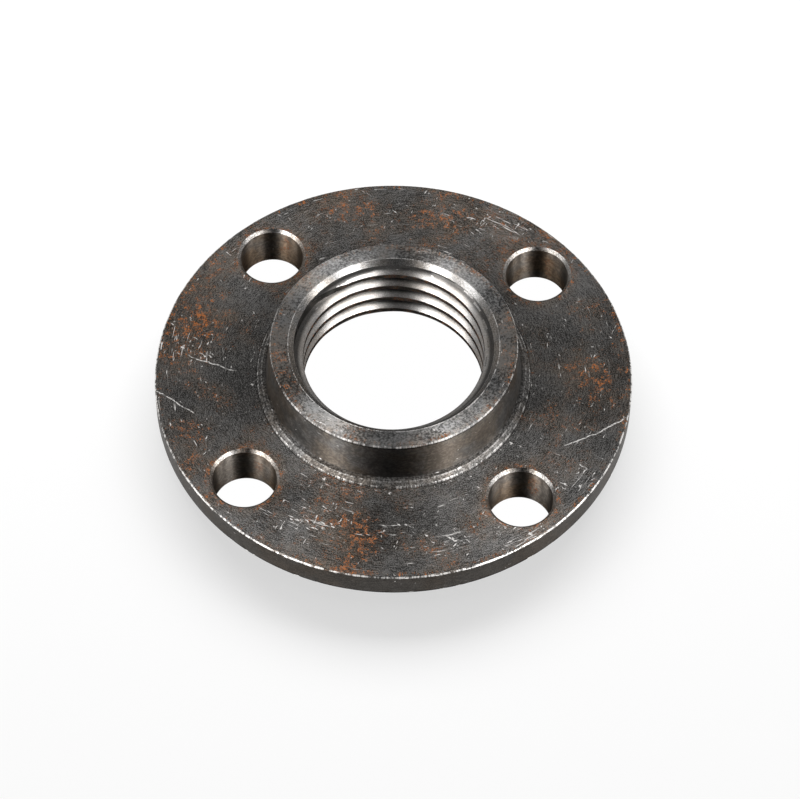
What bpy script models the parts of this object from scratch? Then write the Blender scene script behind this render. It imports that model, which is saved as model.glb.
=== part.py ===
"""Threaded floor flange: a round plate, a short drafted hub with a threaded bore, and bolt holes.

One forging in steel, turned all over, so it is one solid. Metres, +Z up, origin at the centre of
the underside. Run it with blender --background --python part.py, or from Blender's text editor.

The section is built outwards from the bore: thread, hub wall, collar, land, bolt hole, land, rim.
"""

import math

import bmesh
import bpy

# Thread in the bore: right-handed, with 60 degree flanks
THREAD_CREST_DIAMETER = 0.0566
THREAD_DEPTH = 0.0029
THREAD_PITCH = 0.0060
THREAD_ROOT_FLAT = 0.0009
FLANK_SLOPE = math.tan(math.radians(30.0))

# How far the first whole crest's upper edge lies under the hub's face on the +X side
THREAD_DROP = 0.00415

# Lead-ins past the thread's root, both at 45 degrees; the upper one stops on a ledge at the thread
MOUTH_RELIEF = 0.0016
MOUTH_LEDGE = 0.0001
COUNTERSINK_RELIEF = 0.0060

# Hub, which stands on the plate and widens towards its foot
HUB_HEIGHT = 0.0166
HUB_WALL = 0.0103
HUB_DRAFT = 0.0015
HUB_EDGE_BREAK = 0.0006

# Low collar round the hub's foot
COLLAR_WIDTH = 0.0028
COLLAR_HEIGHT = 0.0018
COLLAR_BEVEL_WIDTH = 0.0014
COLLAR_LIP = 0.0006
FOOT_FILLET = 0.0007

# Plate and its bolt holes, with the flat land left on either side of a hole
PLATE_THICKNESS = 0.0155
BOLT_COUNT = 4
BOLT_HOLE_DIAMETER = 0.0200
BOLT_HOLE_CHAMFER = 0.0009
INNER_LAND = 0.00745
OUTER_LAND = 0.00465
FIRST_BOLT_ANGLE = math.radians(45.0)

# Rim, with a bevel below that leaves a narrow flat beside each bolt hole
RIM_EDGE_BREAK = 0.0005
RIM_BEVEL_HEIGHT = 0.0069
UNDERSIDE_FLAT = 0.00035

# Radii that follow from the sizes above
CREST_RADIUS = THREAD_CREST_DIAMETER / 2
HUB_TOP_RADIUS = CREST_RADIUS + HUB_WALL
HUB_FOOT_RADIUS = HUB_TOP_RADIUS + HUB_DRAFT
COLLAR_RADIUS = HUB_FOOT_RADIUS + COLLAR_WIDTH
BOLT_CIRCLE_RADIUS = COLLAR_RADIUS + INNER_LAND + BOLT_HOLE_DIAMETER / 2
RIM_RADIUS = BOLT_CIRCLE_RADIUS + BOLT_HOLE_DIAMETER / 2 + OUTER_LAND
UNDERSIDE_RADIUS = RIM_RADIUS - OUTER_LAND + UNDERSIDE_FLAT
TOP = PLATE_THICKNESS + HUB_HEIGHT

# How finely round forms are divided, and how far a cutter runs past the faces it cuts
BODY_SEGMENTS = 96
THREAD_SEGMENTS = 80
HOLE_SEGMENTS = 44
FILLET_STEPS = 2
CUTTER_OVERRUN = 0.002
PILOT_CLEARANCE = 0.0008
MERGE_DISTANCE = 0.00001
SHARP_EDGE_ANGLE = math.radians(28.0)

# Finish
STEEL_COLOUR = (0.105, 0.098, 0.090, 1.0)
STEEL_ROUGHNESS = 0.42
STEEL_METALLIC = 1.0


def clear_scene():
    """Remove every object that the file opened with."""
    for leftover in list(bpy.data.objects):
        bpy.data.objects.remove(leftover, do_unlink=True)


def new_collection(name):
    """Make a collection and link it to the scene."""
    collection = bpy.data.collections.new(name)
    bpy.context.scene.collection.children.link(collection)
    return collection


def steel_material():
    """Bare turned steel, dark and satin."""
    material = bpy.data.materials.new("turned_steel")
    material.use_nodes = True
    shader = material.node_tree.nodes["Principled BSDF"]
    shader.inputs["Base Color"].default_value = STEEL_COLOUR
    shader.inputs["Roughness"].default_value = STEEL_ROUGHNESS
    shader.inputs["Metallic"].default_value = STEEL_METALLIC
    return material


def evaluated_mesh(source):
    """Return a plain mesh of an object with its modifiers worked out."""
    depsgraph = bpy.context.evaluated_depsgraph_get()
    return bpy.data.meshes.new_from_object(source.evaluated_get(depsgraph))


def screwed_mesh(name, points, segments, closed, rise=0.0):
    """Turn an outline of (radius, height) points once about Z, climbing by rise as it goes round."""
    outline = bpy.data.meshes.new(name + "_outline")
    corners = [(radius, 0.0, height) for radius, height in points]
    sides = [(i, i + 1) for i in range(len(corners) - 1)]
    if closed:
        sides.append((len(corners) - 1, 0))
    outline.from_pydata(corners, sides, [])
    lathe = bpy.data.objects.new(name + "_lathe", outline)
    bpy.context.scene.collection.objects.link(lathe)
    screw = lathe.modifiers.new("turn", "SCREW")
    screw.axis = "Z"
    screw.angle = math.tau
    screw.screw_offset = rise
    screw.steps = segments
    screw.render_steps = segments
    screw.use_merge_vertices = rise == 0.0
    screw.merge_threshold = MERGE_DISTANCE
    mesh = evaluated_mesh(lathe)
    mesh.name = name
    bpy.data.objects.remove(lathe, do_unlink=True)
    bpy.data.meshes.remove(outline)
    return mesh


def hollow_fillet(wall_radius, floor_height, size):
    """Points of a hollow fillet, from the wall above it down to the floor beside it."""
    points = []
    for step in range(FILLET_STEPS + 1):
        angle = math.pi + 0.5 * math.pi * step / FILLET_STEPS
        radius = wall_radius + size + size * math.cos(angle)
        points.append((radius, floor_height + size + size * math.sin(angle)))
    return points


def flange_profile():
    """Outline of half the flange's section, from the hub's mouth down the outside and up the bore.

    The bore is left under the thread's crest here, and the tap then cuts it to size.
    """
    pilot = CREST_RADIUS - PILOT_CLEARANCE
    mouth = CREST_RADIUS + THREAD_DEPTH + MOUTH_RELIEF
    ledge = CREST_RADIUS + THREAD_DEPTH + MOUTH_LEDGE
    countersink = CREST_RADIUS + THREAD_DEPTH + COUNTERSINK_RELIEF
    collar_top = PLATE_THICKNESS + COLLAR_HEIGHT

    profile = [
        (mouth, TOP),
        (HUB_TOP_RADIUS - HUB_EDGE_BREAK, TOP),
        (HUB_TOP_RADIUS, TOP - HUB_EDGE_BREAK),
    ]
    profile += hollow_fillet(HUB_FOOT_RADIUS, collar_top, FOOT_FILLET)
    profile += [
        (COLLAR_RADIUS - COLLAR_BEVEL_WIDTH, collar_top),
        (COLLAR_RADIUS, PLATE_THICKNESS + COLLAR_LIP),
        (COLLAR_RADIUS, PLATE_THICKNESS),
        (RIM_RADIUS - RIM_EDGE_BREAK, PLATE_THICKNESS),
        (RIM_RADIUS, PLATE_THICKNESS - RIM_EDGE_BREAK),
        (RIM_RADIUS, RIM_BEVEL_HEIGHT),
        (UNDERSIDE_RADIUS, 0.0),
        (countersink, 0.0),
        (pilot, countersink - pilot),
        (pilot, TOP - mouth + ledge),
        (ledge, TOP - mouth + ledge),
    ]
    return profile


def tap_profile():
    """One side of the tap that cuts the thread, top to bottom: crest, flank, root and flank in turn.

    The side climbs one pitch in a turn, so it begins two pitches down: its higher end then still
    lies under the flange.
    """
    root = CREST_RADIUS + THREAD_DEPTH
    flank = THREAD_DEPTH * FLANK_SLOPE
    crest_flat = THREAD_PITCH - THREAD_ROOT_FLAT - 2 * flank
    bottom = TOP - THREAD_DROP - (math.ceil(TOP / THREAD_PITCH) + 2) * THREAD_PITCH
    turns = math.ceil((TOP + CUTTER_OVERRUN - bottom) / THREAD_PITCH)
    height = bottom + turns * THREAD_PITCH
    points = [(CREST_RADIUS, height)]
    for _ in range(turns):
        points.append((CREST_RADIUS, height - crest_flat))
        points.append((root, height - crest_flat - flank))
        points.append((root, height - crest_flat - flank - THREAD_ROOT_FLAT))
        height -= THREAD_PITCH
        points.append((CREST_RADIUS, height))
    return points


def tap_mesh():
    """The tap as a closed solid: a threaded side climbing one pitch, and a fan over each end."""
    mesh = screwed_mesh("tap", tap_profile(), THREAD_SEGMENTS, closed=False, rise=THREAD_PITCH)
    return close_ends(mesh)


def close_ends(mesh):
    """Weld the side's seam and close both of its ends onto the axis."""
    shape = bmesh.new()
    shape.from_mesh(mesh)
    bmesh.ops.remove_doubles(shape, verts=shape.verts[:], dist=MERGE_DISTANCE)
    middle = sum(vertex.co.z for vertex in shape.verts) / len(shape.verts)
    for above in (False, True):
        open_edges = [edge for edge in shape.edges if edge.is_boundary]
        end = [edge for edge in open_edges if (edge.verts[0].co.z > middle) == above]
        height = sum(edge.verts[0].co.z for edge in end) / len(end)
        tip = shape.verts.new((0.0, 0.0, height))
        for edge in end:
            shape.faces.new((edge.verts[0], edge.verts[1], tip))
    bmesh.ops.recalc_face_normals(shape, faces=shape.faces[:])
    shape.to_mesh(mesh)
    shape.free()
    return mesh


def bolt_hole_profile():
    """Outline of the bolt hole cutter: a straight drill with a 45 degree countersink."""
    drill = BOLT_HOLE_DIAMETER / 2
    mouth = drill + BOLT_HOLE_CHAMFER + CUTTER_OVERRUN
    return [
        (0.0, PLATE_THICKNESS + CUTTER_OVERRUN),
        (mouth, PLATE_THICKNESS + CUTTER_OVERRUN),
        (drill, PLATE_THICKNESS - BOLT_HOLE_CHAMFER),
        (drill, -CUTTER_OVERRUN),
        (0.0, -CUTTER_OVERRUN),
    ]


def add_cutter(name, mesh, collection):
    """Put a cutter in its collection, shown as wire and never rendered."""
    cutter = bpy.data.objects.new(name, mesh)
    cutter.display_type = "WIRE"
    cutter.hide_render = True
    collection.objects.link(cutter)
    return cutter


def add_cutters(collection):
    """The tap on the flange's axis, and one drill for each hole, evenly round the bolt circle."""
    cutters = [add_cutter("tap", tap_mesh(), collection)]
    drill_mesh = screwed_mesh("drill", bolt_hole_profile(), HOLE_SEGMENTS, closed=True)
    for number in range(BOLT_COUNT):
        angle = FIRST_BOLT_ANGLE + math.tau * number / BOLT_COUNT
        drill = add_cutter(f"drill_{number + 1}", drill_mesh, collection)
        drill.location.x = BOLT_CIRCLE_RADIUS * math.cos(angle)
        drill.location.y = BOLT_CIRCLE_RADIUS * math.sin(angle)
        cutters.append(drill)
    return cutters


def cut(blank, cutters):
    """Cut every cutter out of the blank and keep the result as its mesh."""
    for cutter in cutters:
        step = blank.modifiers.new("cut_" + cutter.name, "BOOLEAN")
        step.operation = "DIFFERENCE"
        step.solver = "EXACT"
        step.object = cutter
    uncut = blank.data
    finished = evaluated_mesh(blank)
    blank.modifiers.clear()
    blank.data = finished
    bpy.data.meshes.remove(uncut)


def build_flange():
    """Turn the flange's section, tap the bore, drill the bolt holes and dress it in steel."""
    parts = new_collection("threaded_floor_flange")
    blank = screwed_mesh("threaded_flange", flange_profile(), BODY_SEGMENTS, closed=True)
    flange = bpy.data.objects.new("threaded_flange", blank)
    parts.objects.link(flange)
    cut(flange, add_cutters(new_collection("cutters")))
    flange.data.materials.clear()
    flange.data.materials.append(steel_material())
    flange.data.shade_smooth()
    flange.data.set_sharp_from_angle(angle=SHARP_EDGE_ANGLE)


clear_scene()
build_flange()
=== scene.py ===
"""Looks of a threaded floor flange: one steel forging, turned all over, tapped and drilled.

Everything is in metres, in the frame of the CAD model: +Z up, with the origin at the centre of the
underside. Angles round the flange run anticlockwise from +X, seen from above. Finishes work in
millimetres, because grain, rust and scratches are easier to think of in them.
"""

import logging
import math
from dataclasses import dataclass
from enum import Enum
from typing import Any, ClassVar

import bmesh
import bpy
import numpy as np
from mathutils import Matrix, Vector


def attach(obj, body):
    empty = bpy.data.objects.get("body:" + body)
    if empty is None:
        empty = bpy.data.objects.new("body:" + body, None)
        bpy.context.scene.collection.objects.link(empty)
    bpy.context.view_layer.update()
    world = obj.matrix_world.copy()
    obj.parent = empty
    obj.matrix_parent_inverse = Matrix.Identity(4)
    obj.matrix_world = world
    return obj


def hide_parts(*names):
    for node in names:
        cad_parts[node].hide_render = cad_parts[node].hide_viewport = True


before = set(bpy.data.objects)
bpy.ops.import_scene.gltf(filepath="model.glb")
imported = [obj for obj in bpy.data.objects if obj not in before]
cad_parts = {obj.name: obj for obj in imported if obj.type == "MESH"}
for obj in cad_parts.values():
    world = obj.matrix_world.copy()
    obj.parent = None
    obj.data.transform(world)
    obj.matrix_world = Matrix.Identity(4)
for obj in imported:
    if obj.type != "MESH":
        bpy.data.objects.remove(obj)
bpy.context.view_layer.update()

log = logging.getLogger("flange")

MM = 0.001
NODE = "threaded_flange"

Colour = tuple[float, float, float, float]
Band = tuple[float, float]
Wire = Any


def grey(level: float, warmth: float = 0.0) -> Colour:
    """A linear grey; warmth lifts its red and lowers its blue by that share."""
    return (level * (1.0 + warmth), level, level * (1.0 - warmth), 1.0)


@dataclass(frozen=True)
class FlangeSizes:
    """Sizes of the flange in metres, as the CAD model has them, from the bore outwards."""

    crest_radius: float = 0.0283
    thread_depth: float = 0.0029
    thread_pitch: float = 0.0060
    root_flat: float = 0.0009
    flank_angle: float = math.radians(30.0)
    thread_drop: float = 0.00415
    run_out: Band = (0.34, 0.44)
    mouth_relief: float = 0.0016
    mouth_ledge: float = 0.0001
    countersink_relief: float = 0.0060
    hub_height: float = 0.0166
    hub_wall: float = 0.0103
    hub_draft: float = 0.0015
    hub_edge_break: float = 0.0006
    collar_width: float = 0.0028
    collar_height: float = 0.0018
    collar_bevel: float = 0.0014
    collar_lip: float = 0.0006
    foot_fillet: float = 0.0007
    plate_thickness: float = 0.0155
    bolt_count: int = 4
    bolt_hole_radius: float = 0.0100
    bolt_hole_chamfer: float = 0.0009
    inner_land: float = 0.00745
    outer_land: float = 0.00465
    first_bolt_angle: float = math.radians(45.0)
    rim_edge_break: float = 0.0005
    rim_bevel_height: float = 0.0069
    underside_flat: float = 0.00035

    @property
    def root_radius(self) -> float:
        """Radius of the thread's root."""
        return self.crest_radius + self.thread_depth

    @property
    def mouth_radius(self) -> float:
        """Radius at which the bore's upper lead-in meets the hub's face."""
        return self.root_radius + self.mouth_relief

    @property
    def ledge_radius(self) -> float:
        """Radius of the ledge that the bore's upper lead-in stops on."""
        return self.root_radius + self.mouth_ledge

    @property
    def ledge_height(self) -> float:
        """Height of that ledge."""
        return self.top - self.mouth_radius + self.ledge_radius

    @property
    def flank(self) -> float:
        """Height of a thread flank."""
        return self.thread_depth * math.tan(self.flank_angle)

    @property
    def crest_flat(self) -> float:
        """Height of the flat on a thread crest."""
        return self.thread_pitch - self.root_flat - 2 * self.flank

    @property
    def first_root(self) -> float:
        """How far the root's middle lies below the first crest's upper edge, in pitches."""
        return (self.crest_flat + self.flank + self.root_flat * 0.5) / self.thread_pitch

    @property
    def countersink_radius(self) -> float:
        """Radius at which the bore's lower lead-in meets the underside."""
        return self.root_radius + self.countersink_relief

    @property
    def hub_top_radius(self) -> float:
        """Radius of the hub at its face."""
        return self.crest_radius + self.hub_wall

    @property
    def hub_foot_radius(self) -> float:
        """Radius of the hub at its foot."""
        return self.hub_top_radius + self.hub_draft

    @property
    def collar_radius(self) -> float:
        """Radius of the low collar round the hub's foot."""
        return self.hub_foot_radius + self.collar_width

    @property
    def collar_top(self) -> float:
        """Height of the collar's upper face."""
        return self.plate_thickness + self.collar_height

    @property
    def bolt_circle_radius(self) -> float:
        """Radius of the circle that the bolt holes lie on."""
        return self.collar_radius + self.inner_land + self.bolt_hole_radius

    @property
    def bolt_offset(self) -> float:
        """How far a hole's axis lies from the X and Y axes, for holes on the 45 degree lines."""
        return self.bolt_circle_radius * math.cos(self.first_bolt_angle)

    @property
    def rim_radius(self) -> float:
        """Radius of the plate."""
        return self.bolt_circle_radius + self.bolt_hole_radius + self.outer_land

    @property
    def underside_radius(self) -> float:
        """Radius at which the flat underside meets the rim's lower bevel."""
        return self.rim_radius - self.outer_land + self.underside_flat

    @property
    def top(self) -> float:
        """Height of the hub's face."""
        return self.plate_thickness + self.hub_height


SIZES = FlangeSizes()


class NodeSheet:
    """One node tree being drawn: each call adds a node, wires it and returns what it gives."""

    def __init__(self, tree: bpy.types.NodeTree) -> None:
        """Start on an empty tree."""
        self.tree = tree
        tree.nodes.clear()

    def add(self, kind: str, wires: dict[int | str, Wire] | None = None, **settings: Any) -> bpy.types.Node:
        """Add a node.

        Args:
            kind: the node's type name.
            wires: what each input gets, by name or number: an output to link, or a plain value.
            settings: properties of the node, set before its inputs are wired.

        Returns:
            The new node.
        """
        node = self.tree.nodes.new(kind)
        for name, value in settings.items():
            setattr(node, name, value)
        for key, value in (wires or {}).items():
            self.wire(node.inputs[key], value)
        return node

    def wire(self, socket: bpy.types.NodeSocket, value: Wire) -> None:
        """Link an output to an input, or set the input's own value.

        Args:
            socket: the input.
            value: an output, or a plain value.
        """
        if isinstance(value, bpy.types.NodeSocket):
            self.tree.links.new(value, socket)
        else:
            socket.default_value = value

    def math(self, operation: str, first: Wire, second: Wire = 0.0, clamp: bool = False) -> Wire:
        """Give the result of one sum on two values."""
        wires = {0: first, 1: second}
        return self.add("ShaderNodeMath", wires, operation=operation, use_clamp=clamp).outputs[0]

    def times(self, first: Wire, *others: Wire) -> Wire:
        """Give the product of some values.

        Args:
            first: the first value.
            others: the values that it is multiplied by.

        Returns:
            The product.
        """
        for other in others:
            first = self.math("MULTIPLY", first, other)
        return first

    def rest(self, share: Wire) -> Wire:
        """Give what a share leaves of 1."""
        return self.math("SUBTRACT", 1.0, share)

    def distance(self, first: Wire, second: Wire) -> Wire:
        """Give how far two values lie apart."""
        return self.math("ABSOLUTE", self.math("SUBTRACT", first, second))

    def largest(self, first: Wire, *others: Wire) -> Wire:
        """Give the largest of some values.

        Args:
            first: the first value.
            others: the other values.

        Returns:
            The largest.
        """
        for other in others:
            first = self.math("MAXIMUM", first, other)
        return first

    def vector(self, operation: str, first: Wire, second: Wire = (0.0, 0.0, 0.0)) -> bpy.types.Node:
        """Add a sum on two vectors and give its node."""
        return self.add("ShaderNodeVectorMath", {0: first, 1: second}, operation=operation)

    def split(self, vector: Wire) -> tuple[Wire, Wire, Wire]:
        """Give the three parts of a vector."""
        outputs = self.add("ShaderNodeSeparateXYZ", {0: vector}).outputs
        return outputs[0], outputs[1], outputs[2]

    def join(self, x: Wire, y: Wire, z: Wire = 0.0) -> Wire:
        """Give the vector of three parts."""
        return self.add("ShaderNodeCombineXYZ", {0: x, 1: y, 2: z}).outputs[0]

    def ease(self, value: Wire, low: Wire, high: Wire, at_low: Wire = 0.0, at_high: Wire = 1.0) -> Wire:
        """Give a value that goes smoothly from at_low to at_high between low and high."""
        wires = {0: value, 1: low, 2: high, 3: at_low, 4: at_high}
        return self.add("ShaderNodeMapRange", wires, interpolation_type="SMOOTHSTEP").outputs[0]

    def between(self, share: Wire, at_none: float, at_full: float) -> Wire:
        """Give a value that goes evenly from at_none to at_full as the share goes from 0 to 1."""
        return self.add("ShaderNodeMapRange", {0: share, 3: at_none, 4: at_full}).outputs[0]

    def noise(self, vector: Wire, scale: float = 1.0, detail: float = 2.0, roughness: float = 0.5) -> Wire:
        """Give a smooth random value about 0.5, cells of 1 / scale across."""
        wires = {"Vector": vector, "Scale": scale, "Detail": detail, "Roughness": roughness}
        return self.add("ShaderNodeTexNoise", wires).outputs[0]

    def blend(self, share: Wire, first: Wire, second: Wire) -> Wire:
        """Give a colour between two others."""
        node = self.add("ShaderNodeMix", {0: share, 6: first, 7: second}, data_type="RGBA")
        return node.outputs[2]

    def shade(self, colour: Wire, factor: Wire) -> Wire:
        """Give a colour made lighter or darker by a factor."""
        return self.add("ShaderNodeVectorMath", {0: colour, 3: factor}, operation="SCALE").outputs[0]


@dataclass(frozen=True)
class Noise:
    """A smooth random pattern: its cells to a unit, its detail, how rough that is, and its place."""

    scale: float = 1.0
    detail: float = 2.0
    roughness: float = 0.5
    shift: tuple[float, float, float] | None = None

    def draw(self, sheet: NodeSheet, point: Wire) -> Wire:
        """Draw the pattern.

        Args:
            sheet: the sheet that it is drawn on.
            point: where the pattern is read.

        Returns:
            The pattern's value, about 0.5.
        """
        if self.shift:
            point = sheet.vector("ADD", point, self.shift).outputs[0]
        return sheet.noise(point, self.scale, self.detail, self.roughness)


@dataclass(frozen=True)
class Port:
    """A named socket of a node group."""

    name: str
    kind: str = "Float"
    default: Any = None

    def open(self, tree: bpy.types.NodeTree, side: str) -> bpy.types.NodeTreeInterfaceSocket:
        """Open the socket on a tree.

        Args:
            tree: the node group.
            side: INPUT or OUTPUT.

        Returns:
            The new socket.
        """
        socket = tree.interface.new_socket(self.name, in_out=side, socket_type="NodeSocket" + self.kind)
        if side == "INPUT" and self.default is not None:
            socket.default_value = self.default
        return socket


class Effect:
    """A surface effect that several finishes share, kept as one shader node group."""

    title: ClassVar[str] = ""
    takes: ClassVar[tuple[Port, ...]] = ()
    gives: ClassVar[tuple[Port, ...]] = ()

    def draw(self, sheet: NodeSheet, given: dict[str, Wire]) -> dict[str, Wire]:
        """Draw the effect.

        Args:
            sheet: the group's sheet.
            given: the group's inputs by name.

        Returns:
            What feeds each of the group's outputs, by name.
        """
        raise NotImplementedError

    @classmethod
    def group(cls) -> bpy.types.NodeTree:
        """Build the effect's node group the first time, and find it after that.

        Returns:
            The node group.
        """
        if cls.title in bpy.data.node_groups:
            return bpy.data.node_groups[cls.title]
        tree = bpy.data.node_groups.new(cls.title, "ShaderNodeTree")
        sheet = NodeSheet(tree)
        for port in cls.takes:
            port.open(tree, "INPUT")
        for port in cls.gives:
            port.open(tree, "OUTPUT")
        given = sheet.add("NodeGroupInput").outputs
        results = cls().draw(sheet, {port.name: given[port.name] for port in cls.takes})
        sheet.add("NodeGroupOutput", results)
        return tree

    @classmethod
    def place(cls, sheet: NodeSheet, wires: dict[str, Wire] | None = None) -> dict[str, Wire]:
        """Place the effect in a material.

        Args:
            sheet: the material's sheet.
            wires: what each of the group's inputs gets, by name.

        Returns:
            The group's outputs by name.
        """
        node = sheet.add("ShaderNodeGroup", wires, node_tree=cls.group())
        return {port.name: node.outputs[port.name] for port in cls.gives}


class FlangePlace(Effect):
    """Where a point lies on the flange: in millimetres, and as a place on the lathe."""

    title = "flange_place"
    gives = (Port("Point", "Vector"), Port("Lathe", "Vector"), Port("Radius"), Port("Height"), Port("Turn"))
    LATHE_RADIUS: ClassVar[float] = 60.0
    HEIGHT_SHARE: ClassVar[float] = 0.6

    def draw(self, sheet: NodeSheet, given: dict[str, Wire]) -> dict[str, Wire]:
        """Draw the effect: Lathe runs round the axis in X and Y, and across the turning marks in Z.

        Args:
            sheet: the group's sheet.
            given: nothing, because the group has no inputs.

        Returns:
            What feeds each of the group's outputs, by name.
        """
        place = sheet.add("ShaderNodeTexCoord").outputs["Object"]
        point = sheet.shade(place, 1.0 / MM)
        x, y, height = sheet.split(point)
        flat = sheet.join(x, y)
        radius = sheet.vector("LENGTH", flat).outputs["Value"]
        around = sheet.shade(sheet.vector("NORMALIZE", flat).outputs[0], self.LATHE_RADIUS)
        around_x, around_y, _ = sheet.split(around)
        across = sheet.math("ADD", radius, sheet.times(height, self.HEIGHT_SHARE))
        lathe = sheet.join(around_x, around_y, across)
        turn = sheet.math("MULTIPLY", sheet.math("ARCTAN2", y, x), 1.0 / math.tau)
        return {"Point": point, "Lathe": lathe, "Radius": radius, "Height": height, "Turn": turn}


class HolePlace(Effect):
    """Where a point lies in the nearest bolt hole, from that hole's axis, in millimetres."""

    title = "hole_place"
    takes = (Port("Point", "Vector"), Port("Offset", "Float", 42.7))
    gives = (Port("Local", "Vector"), Port("Distance"))

    def draw(self, sheet: NodeSheet, given: dict[str, Wire]) -> dict[str, Wire]:
        """Draw the effect, for holes that lie on the 45 degree lines.

        Args:
            sheet: the group's sheet.
            given: the group's inputs by name.

        Returns:
            What feeds each of the group's outputs, by name.
        """
        x, y, height = sheet.split(given["Point"])
        local_x = sheet.math("SUBTRACT", x, sheet.times(sheet.math("SIGN", x), given["Offset"]))
        local_y = sheet.math("SUBTRACT", y, sheet.times(sheet.math("SIGN", y), given["Offset"]))
        distance = sheet.vector("LENGTH", sheet.join(local_x, local_y)).outputs["Value"]
        return {"Local": sheet.join(local_x, local_y, height), "Distance": distance}


class LatheGrain(Effect):
    """Short marks that run round the flange, as a lathe tool and years of rubbing leave them."""

    title = "lathe_grain"
    takes = (Port("Lathe", "Vector"), Port("Length", "Float", 3.0), Port("Width", "Float", 0.4))
    gives = (Port("Streak"),)
    STREAKS: ClassVar[Noise] = Noise(1.0, 3.0, 0.65)

    def draw(self, sheet: NodeSheet, given: dict[str, Wire]) -> dict[str, Wire]:
        """Draw the effect: noise that is stretched along the turning marks.

        Args:
            sheet: the group's sheet.
            given: the group's inputs by name.

        Returns:
            What feeds each of the group's outputs, by name.
        """
        x, y, across = sheet.split(given["Lathe"])
        along = sheet.math("DIVIDE", 1.0, given["Length"])
        narrow = sheet.math("DIVIDE", across, given["Width"])
        stretched = sheet.join(sheet.times(x, along), sheet.times(y, along), narrow)
        return {"Streak": self.STREAKS.draw(sheet, stretched)}


class Flecks(Effect):
    """Small ragged flecks, such as rust freckles, bright nicks or dark pits."""

    title = "flecks"
    takes = (
        Port("Point", "Vector"),
        Port("Size", "Float", 1.0),
        Port("Shift", "Float", 0.0),
        Port("Cover", "Float", 0.3),
    )
    gives = (Port("Mask"), Port("Tone"))
    SHAPES: ClassVar[Noise] = Noise(1.0, 4.0, 0.72)
    TONES: ClassVar[Noise] = Noise(0.5, 2.0, 0.7)
    BARE: ClassVar[float] = 0.80
    FULL: ClassVar[float] = 0.42
    EDGE: ClassVar[float] = 0.045

    def draw(self, sheet: NodeSheet, given: dict[str, Wire]) -> dict[str, Wire]:
        """Draw the effect: noise cut at a level that sinks as the cover rises from 0 to 1.

        Args:
            sheet: the group's sheet.
            given: the group's inputs by name.

        Returns:
            What feeds each of the group's outputs, by name.
        """
        moved = sheet.vector("ADD", given["Point"], given["Shift"]).outputs[0]
        scaled = sheet.shade(moved, sheet.math("DIVIDE", 1.0, given["Size"]))
        value = self.SHAPES.draw(sheet, scaled)
        level = sheet.between(given["Cover"], self.BARE, self.FULL)
        low = sheet.math("SUBTRACT", level, self.EDGE)
        high = sheet.math("ADD", level, self.EDGE)
        return {"Mask": sheet.ease(value, low, high), "Tone": self.TONES.draw(sheet, scaled)}


class Drift(Effect):
    """Slow random changes over the surface, which its patches, scratches and tones share."""

    title = "drift"
    takes = (Port("Point", "Vector"),)
    gives = (
        Port("Broad"),
        Port("Ragged"),
        Port("Clump"),
        Port("Broken"),
        Port("Warm"),
        Port("Bent", "Vector"),
    )
    PATTERNS: ClassVar[dict[str, Noise]] = {
        "Broad": Noise(0.085, 3.0, 0.6),
        "Ragged": Noise(0.24, 4.0, 0.65),
        "Broken": Noise(0.9, 2.0, 0.6),
        "Clump": Noise(0.42, 2.0, 0.6, (15.0, 65.0, 30.0)),
        "Warm": Noise(0.06, 4.0, 0.62, (90.0, 50.0, 20.0)),
    }
    BEND: ClassVar[float] = 3.2

    def draw(self, sheet: NodeSheet, given: dict[str, Wire]) -> dict[str, Wire]:
        """Draw the effect: noises of five sizes, and the point pushed a little by two of them.

        Args:
            sheet: the group's sheet.
            given: the group's inputs by name.

        Returns:
            What feeds each of the group's outputs, by name.
        """
        point = given["Point"]
        results = {name: noise.draw(sheet, point) for name, noise in self.PATTERNS.items()}
        push_x = sheet.math("SUBTRACT", results["Ragged"], 0.5)
        push_y = sheet.math("SUBTRACT", results["Broad"], 0.5)
        push = sheet.shade(sheet.join(push_x, push_y), self.BEND)
        return results | {"Bent": sheet.vector("ADD", point, push).outputs[0]}


class Strokes(Effect):
    """Short thin strokes that lie roughly one way, as knocks and sharp grit leave them."""

    title = "strokes"
    takes = (
        Port("Point", "Vector"),
        Port("Slant", "Float", 0.0),
        Port("Reach", "Vector"),
        Port("Cover", "Float", 0.2),
    )
    gives = (Port("Mask"),)
    LINES: ClassVar[Noise] = Noise(1.0, 1.0)
    CHANCES: ClassVar[Noise] = Noise(1.1, 1.5, 0.5, (31.0, 7.0, 3.0))
    THICKNESS: ClassVar[float] = 0.045
    CORE: ClassVar[float] = 0.3
    BARE: ClassVar[float] = 0.74
    FULL: ClassVar[float] = 0.44
    EDGES: ClassVar[Band] = (0.02, 0.05)

    def draw(self, sheet: NodeSheet, given: dict[str, Wire]) -> dict[str, Wire]:
        """Draw the effect: where a smooth long noise crosses its middle, kept only here and there.

        Args:
            sheet: the group's sheet.
            given: the group's inputs by name.

        Returns:
            What feeds each of the group's outputs, by name.
        """
        wires = {"Vector": given["Point"], "Angle": given["Slant"]}
        turned = sheet.add("ShaderNodeVectorRotate", wires, rotation_type="Z_AXIS").outputs[0]
        long = sheet.vector("DIVIDE", turned, given["Reach"]).outputs[0]
        from_middle = sheet.distance(self.LINES.draw(sheet, long), 0.5)
        line = sheet.ease(from_middle, self.THICKNESS, self.THICKNESS * self.CORE)
        level = sheet.between(given["Cover"], self.BARE, self.FULL)
        low = sheet.math("SUBTRACT", level, self.EDGES[0])
        high = sheet.math("ADD", level, self.EDGES[1])
        kept = sheet.ease(self.CHANCES.draw(sheet, long), low, high)
        return {"Mask": sheet.times(line, kept)}


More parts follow.
